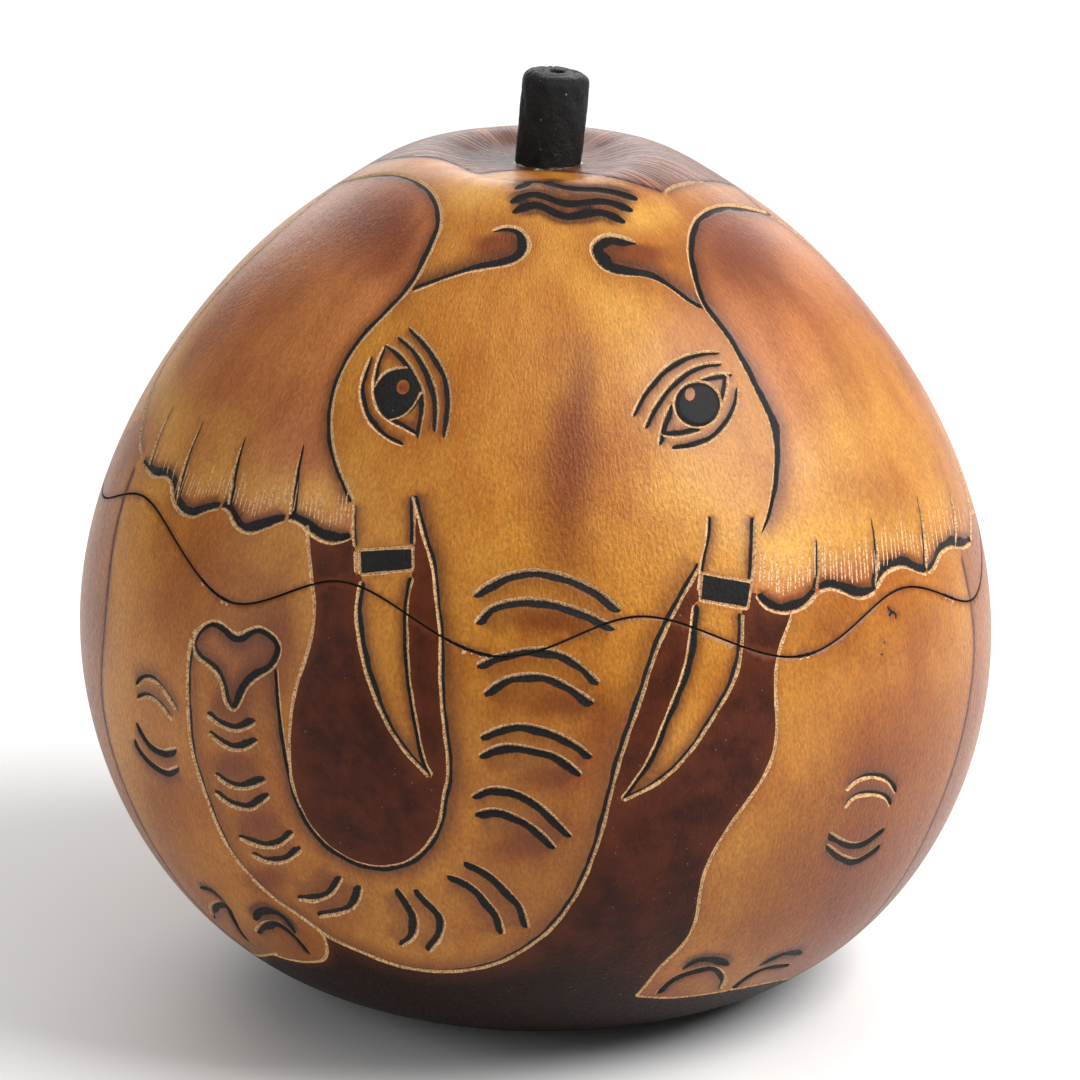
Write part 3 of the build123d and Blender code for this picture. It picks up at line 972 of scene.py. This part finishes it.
def nameAreas(shell, walls, sign):
    labels, first, second = regions(shell, walls)
    centres = shell["plane"][shell["faces"]].mean(1)
    area = np.full(len(labels), -1)
    for name, places in areaSpots:
        for a, turn in places:
            if (along(skin, turn, "z") - cutHeight(np.array([a]))[0]) * sign >= 0:
                seed = ((centres - toPlane(skin, a, turn, sign)) ** 2).sum(1).argmin()
                area[labels == labels[seed]] = areaNames.index(name)
    sizes = np.bincount(labels, minlength=len(labels))[labels]
    area[(area < 0) & (sizes > carving["sliver"])] = 0
    for repeat in range(6):
        for lone, beside in ((first, second), (second, first)):
            lost = (area[lone] < 0) & (area[beside] >= 0)
            area[lone[lost]] = area[beside[lost]]
    area[area < 0] = 0
    return area


def insideShell(sign, rimAz, rimHeight):
    rim = np.stack([rimAz, turnAtHeight(hollow, rimHeight)], 1)
    plain = plainPoints(hollow, rim, sign, poleTurn=4.6, spacing=gourd["insideGrid"], clear=0.9, seed=17)
    shell = triangulate(hollow, np.vstack([rim, plain]), ringEdges(len(rim)), sign)
    keepInside(shell, [True] * len(rim))
    place = {old: new for new, origins in enumerate(shell["origins"]) for old in origins}
    shell["rim"] = [place[i] for i in range(len(rim))]
    return shell


def meshPiece(name, verts, faces, smooth=True):
    mesh = bpy.data.meshes.new(name)
    mesh.from_pydata([tuple(v) for v in np.asarray(verts) * metres], [], [tuple(map(int, f)) for f in faces])
    mesh.update()
    piece = bpy.data.objects.new(name, mesh)
    bpy.context.scene.collection.objects.link(piece)
    mesh.polygons.foreach_set("use_smooth", [smooth] * len(mesh.polygons))
    return piece


def store(mesh, name, kind, domain, values):
    key = {"FLOAT_COLOR": "color", "FLOAT_VECTOR": "vector", "FLOAT": "value"}[kind]
    mesh.attributes.new(name, kind, domain).data.foreach_set(key, values.astype(np.float32).ravel())


# Where the bake finds each corner: the outside fills the square with the rim round it, and
# the inside lies small in one of its corners
uvLayout = {"outside": 0.455, "rim": 0.49, "inside": 0.08, "insideAt": 0.085}


def bakePlaces(plane, loop, rimAz, rings, total):
    place = np.zeros((total, 2))
    place[:len(plane)] = plane * (uvLayout["outside"] / np.hypot(plane[:, 0], plane[:, 1]).max())
    radial = np.stack([np.sin(rimAz), -np.cos(rimAz)], 1)
    reach = np.hypot(place[loop][:, 0], place[loop][:, 1])
    for ring, share in zip(rings, sawCut["rimRows"]):
        place[ring] = radial * (reach + (uvLayout["rim"] - reach) * share)[:, None]
    return place + 0.5


def gourdPiece(name, sign):
    outer = carvedShell(sign)
    used, faces = np.unique(outer["faces"], return_inverse=True)
    faces = faces.reshape(-1, 3)
    az, u, plane = outer["az"][used], outer["u"][used], outer["plane"][used]
    count = len(used)
    fields = strokeFields(az, u)
    loop = boundaryLoop(faces, count)

    rimAz = az[loop]
    cut = cutHeight(rimAz) + sign * sawCut["kerf"] / 2
    outerRim = onSkin(rimAz, turnAtHeight(skin, cut))
    innerRim = onHollow(rimAz, turnAtHeight(hollow, cut))
    rows = [outerRim * (1 - share) + innerRim * share for share in sawCut["rimRows"]]
    for row in rows:
        row[:, 2] = cut
    rings = count + np.arange(len(rows) * len(loop)).reshape(len(rows), -1)
    inner = insideShell(sign, rimAz, cut)
    rest = np.setdiff1d(inner["faces"], inner["rim"])
    innerNew = np.full(len(inner["az"]), -1)
    innerNew[inner["rim"]] = rings[-1]
    innerNew[rest] = rings[-1, -1] + 1 + np.arange(len(rest))
    verts = np.vstack([onSkin(az, u, fields["depth"]), *rows, onHollow(inner["az"][rest], inner["u"][rest])])

    strips = np.vstack([[loop], rings])
    after = np.roll(strips, -1, 1)
    rimFaces = np.stack([strips[:-1], after[:-1], after[1:], strips[1:]], -1).reshape(-1, 4)
    turned = slice(None, None, -sign)
    faces, rimFaces = faces[:, ::sign], rimFaces[:, turned]
    innerFaces, innerPlane = innerNew[inner["faces"]][:, turned], inner["plane"][inner["faces"][:, turned]]
    allFaces = [*faces.tolist(), *rimFaces.tolist(), *innerFaces.tolist()]
    piece = meshPiece(name, verts, allFaces)
    mesh = piece.data

    chips = chipDepth(rimAz) / sawCut["chipDepth"]
    fields["pale"][loop] = np.maximum(fields["pale"][loop], chips * sawCut["chipPale"][sign])
    # A dark band along the saw cut, on the skin's edge and on the first rows of the sawn face
    fields["halo"][loop] = np.maximum(fields["halo"][loop], sawCut["rimEdgeDarkening"])
    marks = np.zeros((len(verts), 4))
    marks[:count, :3] = np.stack([fields["pale"], fields["black"], fields["halo"]], 1)
    for ring, soot in zip(rings, sawCut["rimFaceDarkening"]):
        marks[ring, 2] = soot
    store(mesh, "marks", "FLOAT_COLOR", "POINT", marks)
    # The shade attribute: burning and bleaching, with painted shade and painted light
    shade = np.zeros(len(verts))
    shade[:count] = shadeField(az, u)
    store(mesh, "shade", "FLOAT", "POINT", shade)
    grain = verts.copy()
    wide = gourd["grainRadius"]
    grain[:count] = np.stack([wide * np.cos(az), wide * np.sin(az), along(skin, u, "s")], 1)
    store(mesh, "grainPlace", "FLOAT_VECTOR", "POINT", grain)
    tones = np.zeros((len(allFaces), 4))
    tones[:len(faces)] = np.array([areaTones[area] for area in areaNames])[outer["area"]]
    store(mesh, "tone", "FLOAT_COLOR", "CORNER", np.repeat(tones, [len(face) for face in allFaces], axis=0))
    slots = np.ones(len(allFaces), np.int32)
    slots[:len(faces)] = [{"bare": 1, "ground": 2}.get(areaNames[area], 0) for area in outer["area"]]
    mesh.polygons.foreach_set("material_index", slots)

    place = bakePlaces(plane, loop, rimAz, rings, len(verts))
    small = uvLayout["inside"] / np.hypot(inner["plane"][:, 0], inner["plane"][:, 1]).max()
    cornerUv = np.vstack([place[faces.ravel()], place[rimFaces.ravel()],
                          (innerPlane * small + uvLayout["insideAt"]).reshape(-1, 2)])
    mesh.uv_layers.new(name="OFBake").data.foreach_set("uv", cornerUv.astype(np.float32).ravel())
    mesh.set_sharp_from_angle(angle=math.radians(gourd["sharpAngle"]))
    print(name, "faces:", len(allFaces))
    return piece


# The twig that serves as a knob, and the glue round its foot

twig = {
    "radius": 3.9,
    "height": 11.0,
    "lean": 5.5,
    "shift": 1.6,
    "rim": 1.2,
    "pith": 0.85,
    "pithDepth": 2.5,
    "pits": 240,
    "pitDepth": 0.13,
    "flare": 0.16,
    "round": 120,
    "step": 0.22,
    "sink": 0.05,
}
glue = {"tuck": 0.5, "reach": (0.2, 0.75), "height": (0.15, 0.5), "round": 180, "rows": 9, "sink": 0.05}


def leaning(x, y, h):
    lean = math.radians(twig["lean"])
    h = h + x * math.tan(lean) * np.clip(1 - h / twig["height"], 0, 1)
    return np.stack([x * math.cos(lean) + h * math.sin(lean) + twig["shift"], y,
                     h * math.cos(lean) - x * math.sin(lean) + gourd["seat"]], -1)


def latheFaces(rows, count):
    return [(row * count + i, row * count + j, (row + 1) * count + j, (row + 1) * count + i)
            for row in range(rows - 1) for i, j in ringEdges(count)]


def stemPiece():
    rng = np.random.default_rng(21)
    radius, height, rim, pith = twig["radius"], twig["height"], twig["rim"], twig["pith"]
    bottom = height - twig["pithDepth"]
    outline = [(0.001, 0), (radius * 0.6, 0), (radius - 0.15, 0)]
    outline += [(radius, h) for h in np.arange(0, height - rim, twig["step"])]
    outline += [(radius - rim + rim * math.cos(t), height - rim + rim * math.sin(t))
                for t in np.linspace(0, math.pi / 2, 7)]
    outline += [(r, height) for r in np.arange(radius - rim - 0.3, pith + 0.35, -0.3)]
    outline += [(pith + 0.18, height - 0.03), (pith + 0.04, height - 0.14)]
    outline += [(pith, height - d) for d in np.linspace(0.4, twig["pithDepth"], 6)]
    outline = np.array(outline + [(0.4, bottom - 0.02), (0.001, bottom)])
    count, rows = twig["round"], len(outline)
    r, t = np.meshgrid(outline[:, 0], np.arange(count) * math.tau / count, indexing="ij")
    h = np.repeat(outline[:, 1:], count, 1)
    body = np.clip((r - 1.2) / 1.5, 0, 1)
    swell = 0.1 * np.sin(h * 0.27 + 0.6) + 0.09 * wobble(t, 41, (2, 3, 5))
    swell = swell + 0.05 * wobble(t + 0.1 * h, 42, (9, 13))
    dent = np.zeros_like(r)
    for pit in range(twig["pits"]):
        place, level = rng.uniform(0, math.tau), rng.uniform(0.5, height + 1)
        size, deep = rng.uniform(0.16, 0.5), rng.uniform(0.3, 1) * twig["pitDepth"]
        off = wrapped(t - place) * radius
        rise = h - level + np.clip(radius - rim - r, 0, 3)
        dent = np.maximum(dent, deep * np.exp(-(off**2 + (rise * 0.8) ** 2) / size**2))
    flare = twig["flare"] * np.clip(h / height, 0, 1) ** 2
    r = r + body * (np.clip(swell - 0.05, -0.2, 0.12) + flare - dent)
    top = np.clip((h - height + rim) / rim, 0, 1) * np.clip((r - pith - 0.2) * 2, 0, 1)
    h = h + top * (0.1 * wobble(t + r, 43, (1, 2, 4)) - 0.08 - dent)
    places = leaning(r * np.sin(t), -r * np.cos(t), h).reshape(-1, 3)
    places[:, 2] -= twig["sink"] * np.clip(1 - h.ravel() / 2, 0, 1)
    places = np.vstack([places, places[:count].mean(0), places[-count:].mean(0)])
    last, low, high = (rows - 1) * count, rows * count, rows * count + 1
    faces = latheFaces(rows, count) + [(j, i, low) for i, j in ringEdges(count)]
    faces += [(last + i, last + j, high) for i, j in ringEdges(count)]
    return meshPiece("stem_twig", places, faces)


def gluePiece():
    count, rows = glue["round"], glue["rows"]
    theta = np.arange(count) * math.tau / count
    reach, tall = [low + (high - low) * np.clip(0.5 + 0.9 * wobble(theta, seed, waves), 0, 1)
                   for (low, high), seed, waves in ((glue["reach"], 51, (1, 3, 5, 8)),
                                                    (glue["height"], 52, (2, 3, 6, 11)))]
    inner = twig["radius"] - glue["tuck"]
    places = []
    for row in np.linspace(0, 1, rows):
        r = inner + (glue["tuck"] + reach) * (1 - row)
        h = tall * row**1.6 * (1 + 0.06 * np.sin(theta * 23 + row * 5))
        places.append(leaning(r * np.sin(theta), -r * np.cos(theta), h - glue["sink"]))
    places.append(leaning(inner * np.sin(theta), -inner * np.cos(theta), np.full(count, -glue["sink"])))
    last = rows * count
    under = [(last + i, last + j, j, i) for i, j in ringEdges(count)]
    return meshPiece("glue_bead", np.vstack(places), latheFaces(rows + 1, count) + under)


# Finishes

def tint(r, g, b):
    linear = [((c / 255 + 0.055) / 1.055) ** 2.4 if c > 10 else c / 255 / 12.92 for c in (r, g, b)]
    return (*linear, 1.0)


def plug(tree, made, inputs):
    for key, value in inputs.items():
        if isinstance(value, bpy.types.NodeSocket):
            tree.links.new(value, made.inputs[key])
        else:
            made.inputs[key].default_value = value


def put(tree, kind, inputs=None, **settings):
    made = tree.nodes.new(kind)
    for key, value in settings.items():
        setattr(made, key, value)
    plug(tree, made, inputs or {})
    return made.outputs


def mixed(tree, share, first, second, blend="MIX"):
    return put(tree, "ShaderNodeMix", {0: share, 6: first, 7: second}, data_type="RGBA", blend_type=blend)[2]


def sums(tree, operation, first, second=0.0, third=0.0, clamp=False):
    inputs = {0: first, 1: second, 2: third}
    return put(tree, "ShaderNodeMath", inputs, operation=operation, use_clamp=clamp)[0]


def times(tree, first, second):
    return sums(tree, "MULTIPLY", first, second)


def between(tree, value, low, high, toLow=0.0, toHigh=1.0):
    span = {"Value": value, "From Min": low, "From Max": high, "To Min": toLow, "To Max": toHigh}
    return put(tree, "ShaderNodeMapRange", span, interpolation_type="SMOOTHSTEP")[0]


def noise(tree, vector, scale, detail=3.0, roughness=0.55, stretch=None):
    if stretch:
        vector = put(tree, "ShaderNodeVectorMath", {0: vector, 1: stretch}, operation="MULTIPLY")[0]
    return put(tree, "ShaderNodeTexNoise", {"Vector": vector, "Scale": scale, "Detail": detail,
                                            "Roughness": roughness})[0]


def attribute(tree, name):
    return put(tree, "ShaderNodeAttribute", attribute_name=name)


def channels(tree, colour):
    return put(tree, "ShaderNodeSeparateColor", {0: colour})


def bumped(tree, distance, height):
    return put(tree, "ShaderNodeBump", {"Strength": 1.0, "Distance": distance, "Height": height})[0]


def makeGroup(name, inputs, outputs):
    group = bpy.data.node_groups.new(name, "ShaderNodeTree")
    for side, sockets in (("INPUT", inputs), ("OUTPUT", outputs)):
        for socket, kind in sockets.items():
            group.interface.new_socket(socket, in_out=side, socket_type="NodeSocket" + kind)
    return group, group.nodes.new("NodeGroupInput").outputs, group.nodes.new("NodeGroupOutput")


def grainGroup():
    group, given, out = makeGroup(
        "fibre grain", {"Vector": "Vector", "Fibre Scale": "Float", "Patch Scale": "Float"},
        {"Fibres": "Float", "Patches": "Float", "Peel": "Float", "Height": "Float"})
    spot = given["Vector"]
    wide = noise(group, spot, given["Fibre Scale"], 4, 0.65, (1, 1, 0.07))
    fine = noise(group, spot, given["Fibre Scale"], 3, 0.6, (3.1, 3.1, 0.24))
    fibres = sums(group, "ADD", times(group, wide, 0.6), times(group, fine, 0.4))
    patches = noise(group, spot, given["Patch Scale"], 5, 0.6, (1, 1, 0.8))
    peel = noise(group, spot, 2.2, 2, 0.5, (1, 1, 0.75))
    height = sums(group, "ADD", times(group, fibres, 0.4), times(group, peel, 0.6))
    plug(group, out, {"Fibres": fibres, "Patches": patches, "Peel": peel, "Height": height})
    return group


def specksGroup():
    group, given, out = makeGroup(
        "specks", {"Vector": "Vector", "Scale": "Float", "Size": "Float", "Share": "Float"},
        {"Mask": "Float"})
    cells = put(group, "ShaderNodeTexVoronoi", {"Vector": given["Vector"], "Scale": given["Scale"]})
    pick = channels(group, cells["Color"])[0]
    chosen = sums(group, "LESS_THAN", pick, given["Share"])
    size = times(group, given["Size"], sums(group, "DIVIDE", pick, given["Share"]))
    dot = sums(group, "SUBTRACT", 1.0, sums(group, "DIVIDE", cells["Distance"], size), clamp=True)
    plug(group, out, {"Mask": times(group, between(group, dot, 0.0, 0.5), chosen)})
    return group


lineFinish = {
    "scorch": (tint(132, 66, 26), tint(58, 24, 12)),
    "soot": (tint(4, 3, 3), tint(20, 14, 13)),
    "bare": (tint(158, 108, 64), tint(224, 184, 138)),
    "blackEdge": (0.42, 0.56),
    "paleEdge": (0.34, 0.52),
}


def burntLineGroup():
    group, given, out = makeGroup(
        "burnt line", {"Base": "Color", "Vector": "Vector", "Pale": "Float", "Black": "Float",
                       "Halo": "Float", "Ink": "Float"},
        {"Color": "Color", "Pale Mask": "Float", "Black Mask": "Float"})
    spot = given["Vector"]
    ragged = sums(group, "SUBTRACT", noise(group, spot, 3.2, 3, 0.6), 0.5)
    fibre = noise(group, spot, 2.6, 3, 0.6, (1, 1, 0.3))
    halo = sums(group, "MULTIPLY", given["Halo"], between(group, fibre, 0.25, 0.7, 0.82, 1.05), clamp=True)
    scorched = mixed(group, halo, given["Base"], mixed(group, halo, *lineFinish["scorch"]))
    black = sums(group, "MULTIPLY_ADD", ragged, 0.34, given["Black"])
    black = sums(group, "MAXIMUM", between(group, black, *lineFinish["blackEdge"]), given["Ink"])
    darkened = mixed(group, black, scorched, mixed(group, fibre, *lineFinish["soot"]))
    pale = sums(group, "MULTIPLY_ADD", ragged, 0.4, given["Pale"])
    pale = between(group, pale, *lineFinish["paleEdge"])
    dots = between(group, noise(group, spot, 4.6, 2, 0.5), 0.36, 0.6)
    finished = mixed(group, pale, darkened, mixed(group, dots, *lineFinish["bare"]))
    plug(group, out, {"Color": finished, "Pale Mask": pale, "Black Mask": black})
    return group


groups = {"grain": grainGroup(), "specks": specksGroup(), "line": burntLineGroup()}


def grain(tree, vector, fibreScale, patchScale):
    inputs = {"Vector": vector, "Fibre Scale": fibreScale, "Patch Scale": patchScale}
    return put(tree, "ShaderNodeGroup", inputs, node_tree=groups["grain"])[:4]


def specks(tree, vector, scale, size, share):
    inputs = {"Vector": vector, "Scale": scale, "Size": size, "Share": share}
    return put(tree, "ShaderNodeGroup", inputs, node_tree=groups["specks"])[0]


def millimetreSpot(tree):
    spot = put(tree, "ShaderNodeTexCoord")["Object"]
    return put(tree, "ShaderNodeVectorMath", {0: spot, "Scale": 1 / metres}, operation="SCALE")[0]


def newMaterial(name):
    material = bpy.data.materials.new(name)
    material.use_nodes = True
    return material, material.node_tree, material.node_tree.nodes["Principled BSDF"]


skinFinish = {
    "name": "burnt and waxed gourd",
    "skin": (tint(188, 124, 42), tint(166, 96, 24)),
    "ear": (tint(183, 112, 59), tint(155, 87, 44)),
    # golden tone for bleached skin and for painted light on the lit side
    "goldAndHighlight": tint(219, 165, 72),
    "umber": tint(112, 46, 7),
    "ground": (tint(54, 24, 15), tint(84, 38, 23)),
    # painted shade: the scorched ground darkens towards this low down
    "groundPaintedShade": tint(24, 11, 7),
    "crown": (tint(90, 42, 26), tint(156, 88, 56)),
    "dust": tint(190, 168, 150),
    "roughness": (0.3, 0.42),
    "coat": 0.14,
    "coatRoughness": 0.22,
    "specular": 0.23,
    "bump": 0.0002,
}
groundFinish = dict(skinFinish, name="scorched ground", roughness=(0.38, 0.5), coat=0.03, specular=0.1,
                    bump=0.00013)


def carvedMaterial(look):
    material, tree, shader = newMaterial(look["name"])
    spot = attribute(tree, "grainPlace")["Vector"]
    pale, black, halo = channels(tree, attribute(tree, "marks")["Color"])[:3]
    tone = attribute(tree, "tone")
    ear, ground, crown = channels(tree, tone["Color"])[:3]
    shade = attribute(tree, "shade")["Fac"]
    fibres, patches, peel, height = grain(tree, spot, 0.9, 0.055)
    patch = between(tree, patches, 0.34, 0.66)
    colour = mixed(tree, ear, mixed(tree, patch, *look["skin"]), mixed(tree, patch, *look["ear"]))
    # The shade attribute brings burning and bleaching together with painted shade and painted light: positive
    # browns the skin towards umber, negative turns it golden
    burnAndPaintedLight = sums(tree, "MULTIPLY_ADD", sums(tree, "SUBTRACT", patches, 0.5), 0.9, shade)
    colour = mixed(tree, between(tree, burnAndPaintedLight, 0.0, 1.25, 0.0, 0.92), colour, look["umber"])
    goldAndHighlightShare = between(tree, times(tree, burnAndPaintedLight, -1.0), 0.0, 1.2, 0.0, 0.85)
    colour = mixed(tree, goldAndHighlightShare, colour, look["goldAndHighlight"])
    grit = noise(tree, spot, 2.8, 4, 0.75, (1, 1, 0.6))
    streak = between(tree, fibres, 0.3, 0.7, 0.94, 1.04)
    streak = times(tree, streak, between(tree, grit, 0.3, 0.7, 0.74, 1.24))
    streaks = put(tree, "ShaderNodeCombineColor", {0: streak, 1: streak, 2: streak})[0]
    colour = mixed(tree, 1.0, colour, streaks, "MULTIPLY")
    cloud = between(tree, noise(tree, spot, 0.16, 5, 0.7), 0.35, 0.65)
    burnt = mixed(tree, cloud, *look["ground"])
    # Painted shade: the scorched ground darkens where the shade field is high, most of all towards the foot
    burnt = mixed(tree, between(tree, shade, 0.15, 0.8, 0.0, 0.9), burnt, look["groundPaintedShade"])
    colour = mixed(tree, ground, colour, burnt)
    rays = between(tree, noise(tree, spot, 0.8, 3, 0.6, (1, 1, 0.05)), 0.38, 0.66)
    colour = mixed(tree, crown, colour, mixed(tree, rays, *look["crown"]))
    colour = mixed(tree, times(tree, specks(tree, spot, 1.1, 0.2, 0.2), 0.35), colour, look["umber"])
    line = put(tree, "ShaderNodeGroup", {"Base": colour, "Vector": spot, "Pale": pale, "Black": black,
                                         "Halo": halo, "Ink": tone["Alpha"]}, node_tree=groups["line"])
    dark = sums(tree, "ADD", sums(tree, "ADD", ground, crown), tone["Alpha"], clamp=True)
    dust = times(tree, specks(tree, spot, 1.9, 0.2, 0.16), times(tree, dark, 0.4))
    colour = mixed(tree, dust, line["Color"], look["dust"])
    rough = between(tree, peel, 0.3, 0.7, *look["roughness"])
    rough = sums(tree, "MULTIPLY_ADD", line["Pale Mask"], 0.3, rough)
    rough = sums(tree, "MULTIPLY_ADD", line["Black Mask"], 0.22, rough)
    bare = sums(tree, "MULTIPLY_ADD", line["Black Mask"], 0.6, line["Pale Mask"], clamp=True)
    coat = times(tree, sums(tree, "SUBTRACT", 1.0, bare), look["coat"])
    lift = sums(tree, "MULTIPLY_ADD", grit, sums(tree, "MULTIPLY_ADD", line["Black Mask"], 1.0, 0.35), height)
    lift = sums(tree, "MULTIPLY_ADD", times(tree, crown, rays), 1.4, lift)
    plug(tree, shader, {"Base Color": colour, "Roughness": rough, "Normal": bumped(tree, look["bump"], lift),
                        "Coat Weight": coat, "Coat Roughness": look["coatRoughness"],
                        "Specular IOR Level": look["specular"]})
    return material


rawFinish = {
    "name": "raw scraped shell",
    "shell": (tint(206, 170, 122), tint(176, 132, 86)),
    "fibre": tint(142, 98, 60),
    "pore": tint(104, 66, 38),
    "soot": tint(26, 16, 12),
    "roughness": (0.7, 0.9),
    "specular": 0.3,
    "bump": 0.0003,
}


def rawMaterial(look):
    material, tree, shader = newMaterial(look["name"])
    spot = attribute(tree, "grainPlace")["Vector"]
    fibres, patches, peel, height = grain(tree, spot, 0.6, 0.06)
    colour = mixed(tree, between(tree, patches, 0.35, 0.65), *look["shell"])
    colour = mixed(tree, between(tree, fibres, 0.4, 0.7, 0.0, 0.6), colour, look["fibre"])
    colour = mixed(tree, times(tree, specks(tree, spot, 0.9, 0.3, 0.35), 0.55), colour, look["pore"])
    # The third channel of the marks darkens the raw shell towards the soot colour: the sawn face next to the
    # skin, and the sanded foot beside its line
    soot = channels(tree, attribute(tree, "marks")["Color"])[2]
    colour = mixed(tree, between(tree, soot, 0.1, 0.8), colour, look["soot"])
    plug(tree, shader, {"Base Color": colour, "Roughness": between(tree, peel, 0.3, 0.7, *look["roughness"]),
                        "Normal": bumped(tree, look["bump"], height), "Specular IOR Level": look["specular"]})
    return material


paintFinish = {
    "name": "matt black paint",
    "paint": (tint(7, 7, 7), tint(20, 19, 19)),
    "dust": tint(196, 186, 180),
    "roughness": (0.4, 0.7),
    "specular": 0.28,
    "bump": 0.00024,
}


def stemMaterial(look):
    material, tree, shader = newMaterial(look["name"])
    spot = millimetreSpot(tree)
    patches, height = grain(tree, spot, 1.5, 0.5)[1::2]
    colour = mixed(tree, between(tree, patches, 0.35, 0.7), *look["paint"])
    colour = mixed(tree, times(tree, specks(tree, spot, 1.7, 0.24, 0.3), 0.6), colour, look["dust"])
    grit = noise(tree, spot, 3.4, 4, 0.75)
    plug(tree, shader, {"Base Color": colour, "Roughness": between(tree, grit, 0.3, 0.7, *look["roughness"]),
                        "Normal": bumped(tree, look["bump"], sums(tree, "ADD", height, grit)),
                        "Specular IOR Level": look["specular"]})
    return material


glueFinish = {
    "name": "dried glue",
    "glue": (tint(62, 44, 34), tint(172, 172, 146)),
    "roughness": (0.25, 0.45),
    "bump": 0.0002,
}


def glueMaterial(look):
    material, tree, shader = newMaterial(look["name"])
    spot = millimetreSpot(tree)
    cloud = noise(tree, spot, 0.9, 4, 0.7)
    colour = mixed(tree, between(tree, cloud, 0.46, 0.62), *look["glue"])
    plug(tree, shader, {"Base Color": colour, "Roughness": between(tree, cloud, 0.3, 0.7, *look["roughness"]),
                        "Normal": bumped(tree, look["bump"], noise(tree, spot, 1.2, 3))})
    return material


materials = {
    "carved": carvedMaterial(skinFinish),
    "ground": carvedMaterial(groundFinish),
    "raw": rawMaterial(rawFinish),
    "stem": stemMaterial(paintFinish),
    "glue": glueMaterial(glueFinish),
}
print("materials ready")

pieces = [
    (gourdPiece("carved_lid", 1), "gourd_lid", "lid", "gourd_shell", ("carved", "raw", "ground")),
    (gourdPiece("carved_base", -1), "gourd_base", "base", "gourd_shell", ("carved", "raw", "ground")),
    (stemPiece(), "stem", "lid", "stem_paint", ("stem",)),
    (gluePiece(), "stem_glue", "lid", "glue", ("glue",)),
]
for piece, node, body, slot, finishes in pieces:
    for finish in finishes:
        piece.data.materials.append(materials[finish])
    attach(piece, body)
    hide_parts(node)
print("pieces ready:", ", ".join(piece.name for piece, *_ in pieces))

# Stage, light and camera

studio = {
    "floorRadius": 2.5,
    "floorSides": 96,
    "floor": (0.86, 0.86, 0.86, 1),
    "floorRoughness": 0.6,
    "world": 0.12,
    "lights": {
        "key": {"place": (0.565, -0.15, 0.6), "size": (0.5, 0.5), "energy": 9.0},
        "back": {"place": (0.0, 1.25, 0.5), "size": (1.3, 0.8), "energy": 10.2},
        "left": {"place": (-0.8, -0.35, 0.34), "size": (0.7, 0.7), "energy": 2.6},
        "ceiling": {"place": (0.0, -0.2, 1.25), "size": (2.0, 2.0), "energy": 6.8},
    },
}


def makeStage():
    count, radius = studio["floorSides"], studio["floorRadius"]
    ring = [(radius * math.cos(k * math.tau / count), radius * math.sin(k * math.tau / count), 0)
            for k in range(count)]
    floor = meshPiece("floor", np.array(ring) / metres, [tuple(range(count))], smooth=False)
    material, tree, shader = newMaterial("pale floor")
    plug(tree, shader, {"Base Color": studio["floor"], "Roughness": studio["floorRoughness"]})
    floor.data.materials.append(material)


def aimed(name, data, place, back):
    made = bpy.data.objects.new(name, data)
    made.location = place
    made.rotation_euler = (-back).to_track_quat("-Z", "Y").to_euler()
    bpy.context.scene.collection.objects.link(made)
    return made


def makeLights():
    world = bpy.data.worlds.new("studio")
    world.use_nodes = True
    plug(world.node_tree, world.node_tree.nodes["Background"],
         {"Color": (1, 1, 1, 1), "Strength": studio["world"]})
    bpy.context.scene.world = world
    middle = Vector((0, 0, gourd["height"] * metres / 2))
    for name, light in studio["lights"].items():
        data = bpy.data.lights.new(name, "AREA")
        data.shape = "RECTANGLE"
        data.size, data.size_y = light["size"]
        data.energy = light["energy"]
        aimed(name, data, light["place"], Vector(light["place"]) - middle)


def makeCamera():
    data = bpy.data.cameras.new("camera")
    data.sensor_width = camera["sensor"]
    data.lens = camera["focalPixels"] * camera["sensor"] / camera["frame"]
    data.clip_start = 0.05
    back = Vector(cameraAxes()[2]) * camera["distance"] * metres
    eye = aimed("camera", data, Vector(camera["target"]) * metres + back, back)
    bpy.context.scene.camera = eye


makeStage()
makeLights()
makeCamera()
bpy.context.scene.view_settings.view_transform = "Standard"
print("studio ready")
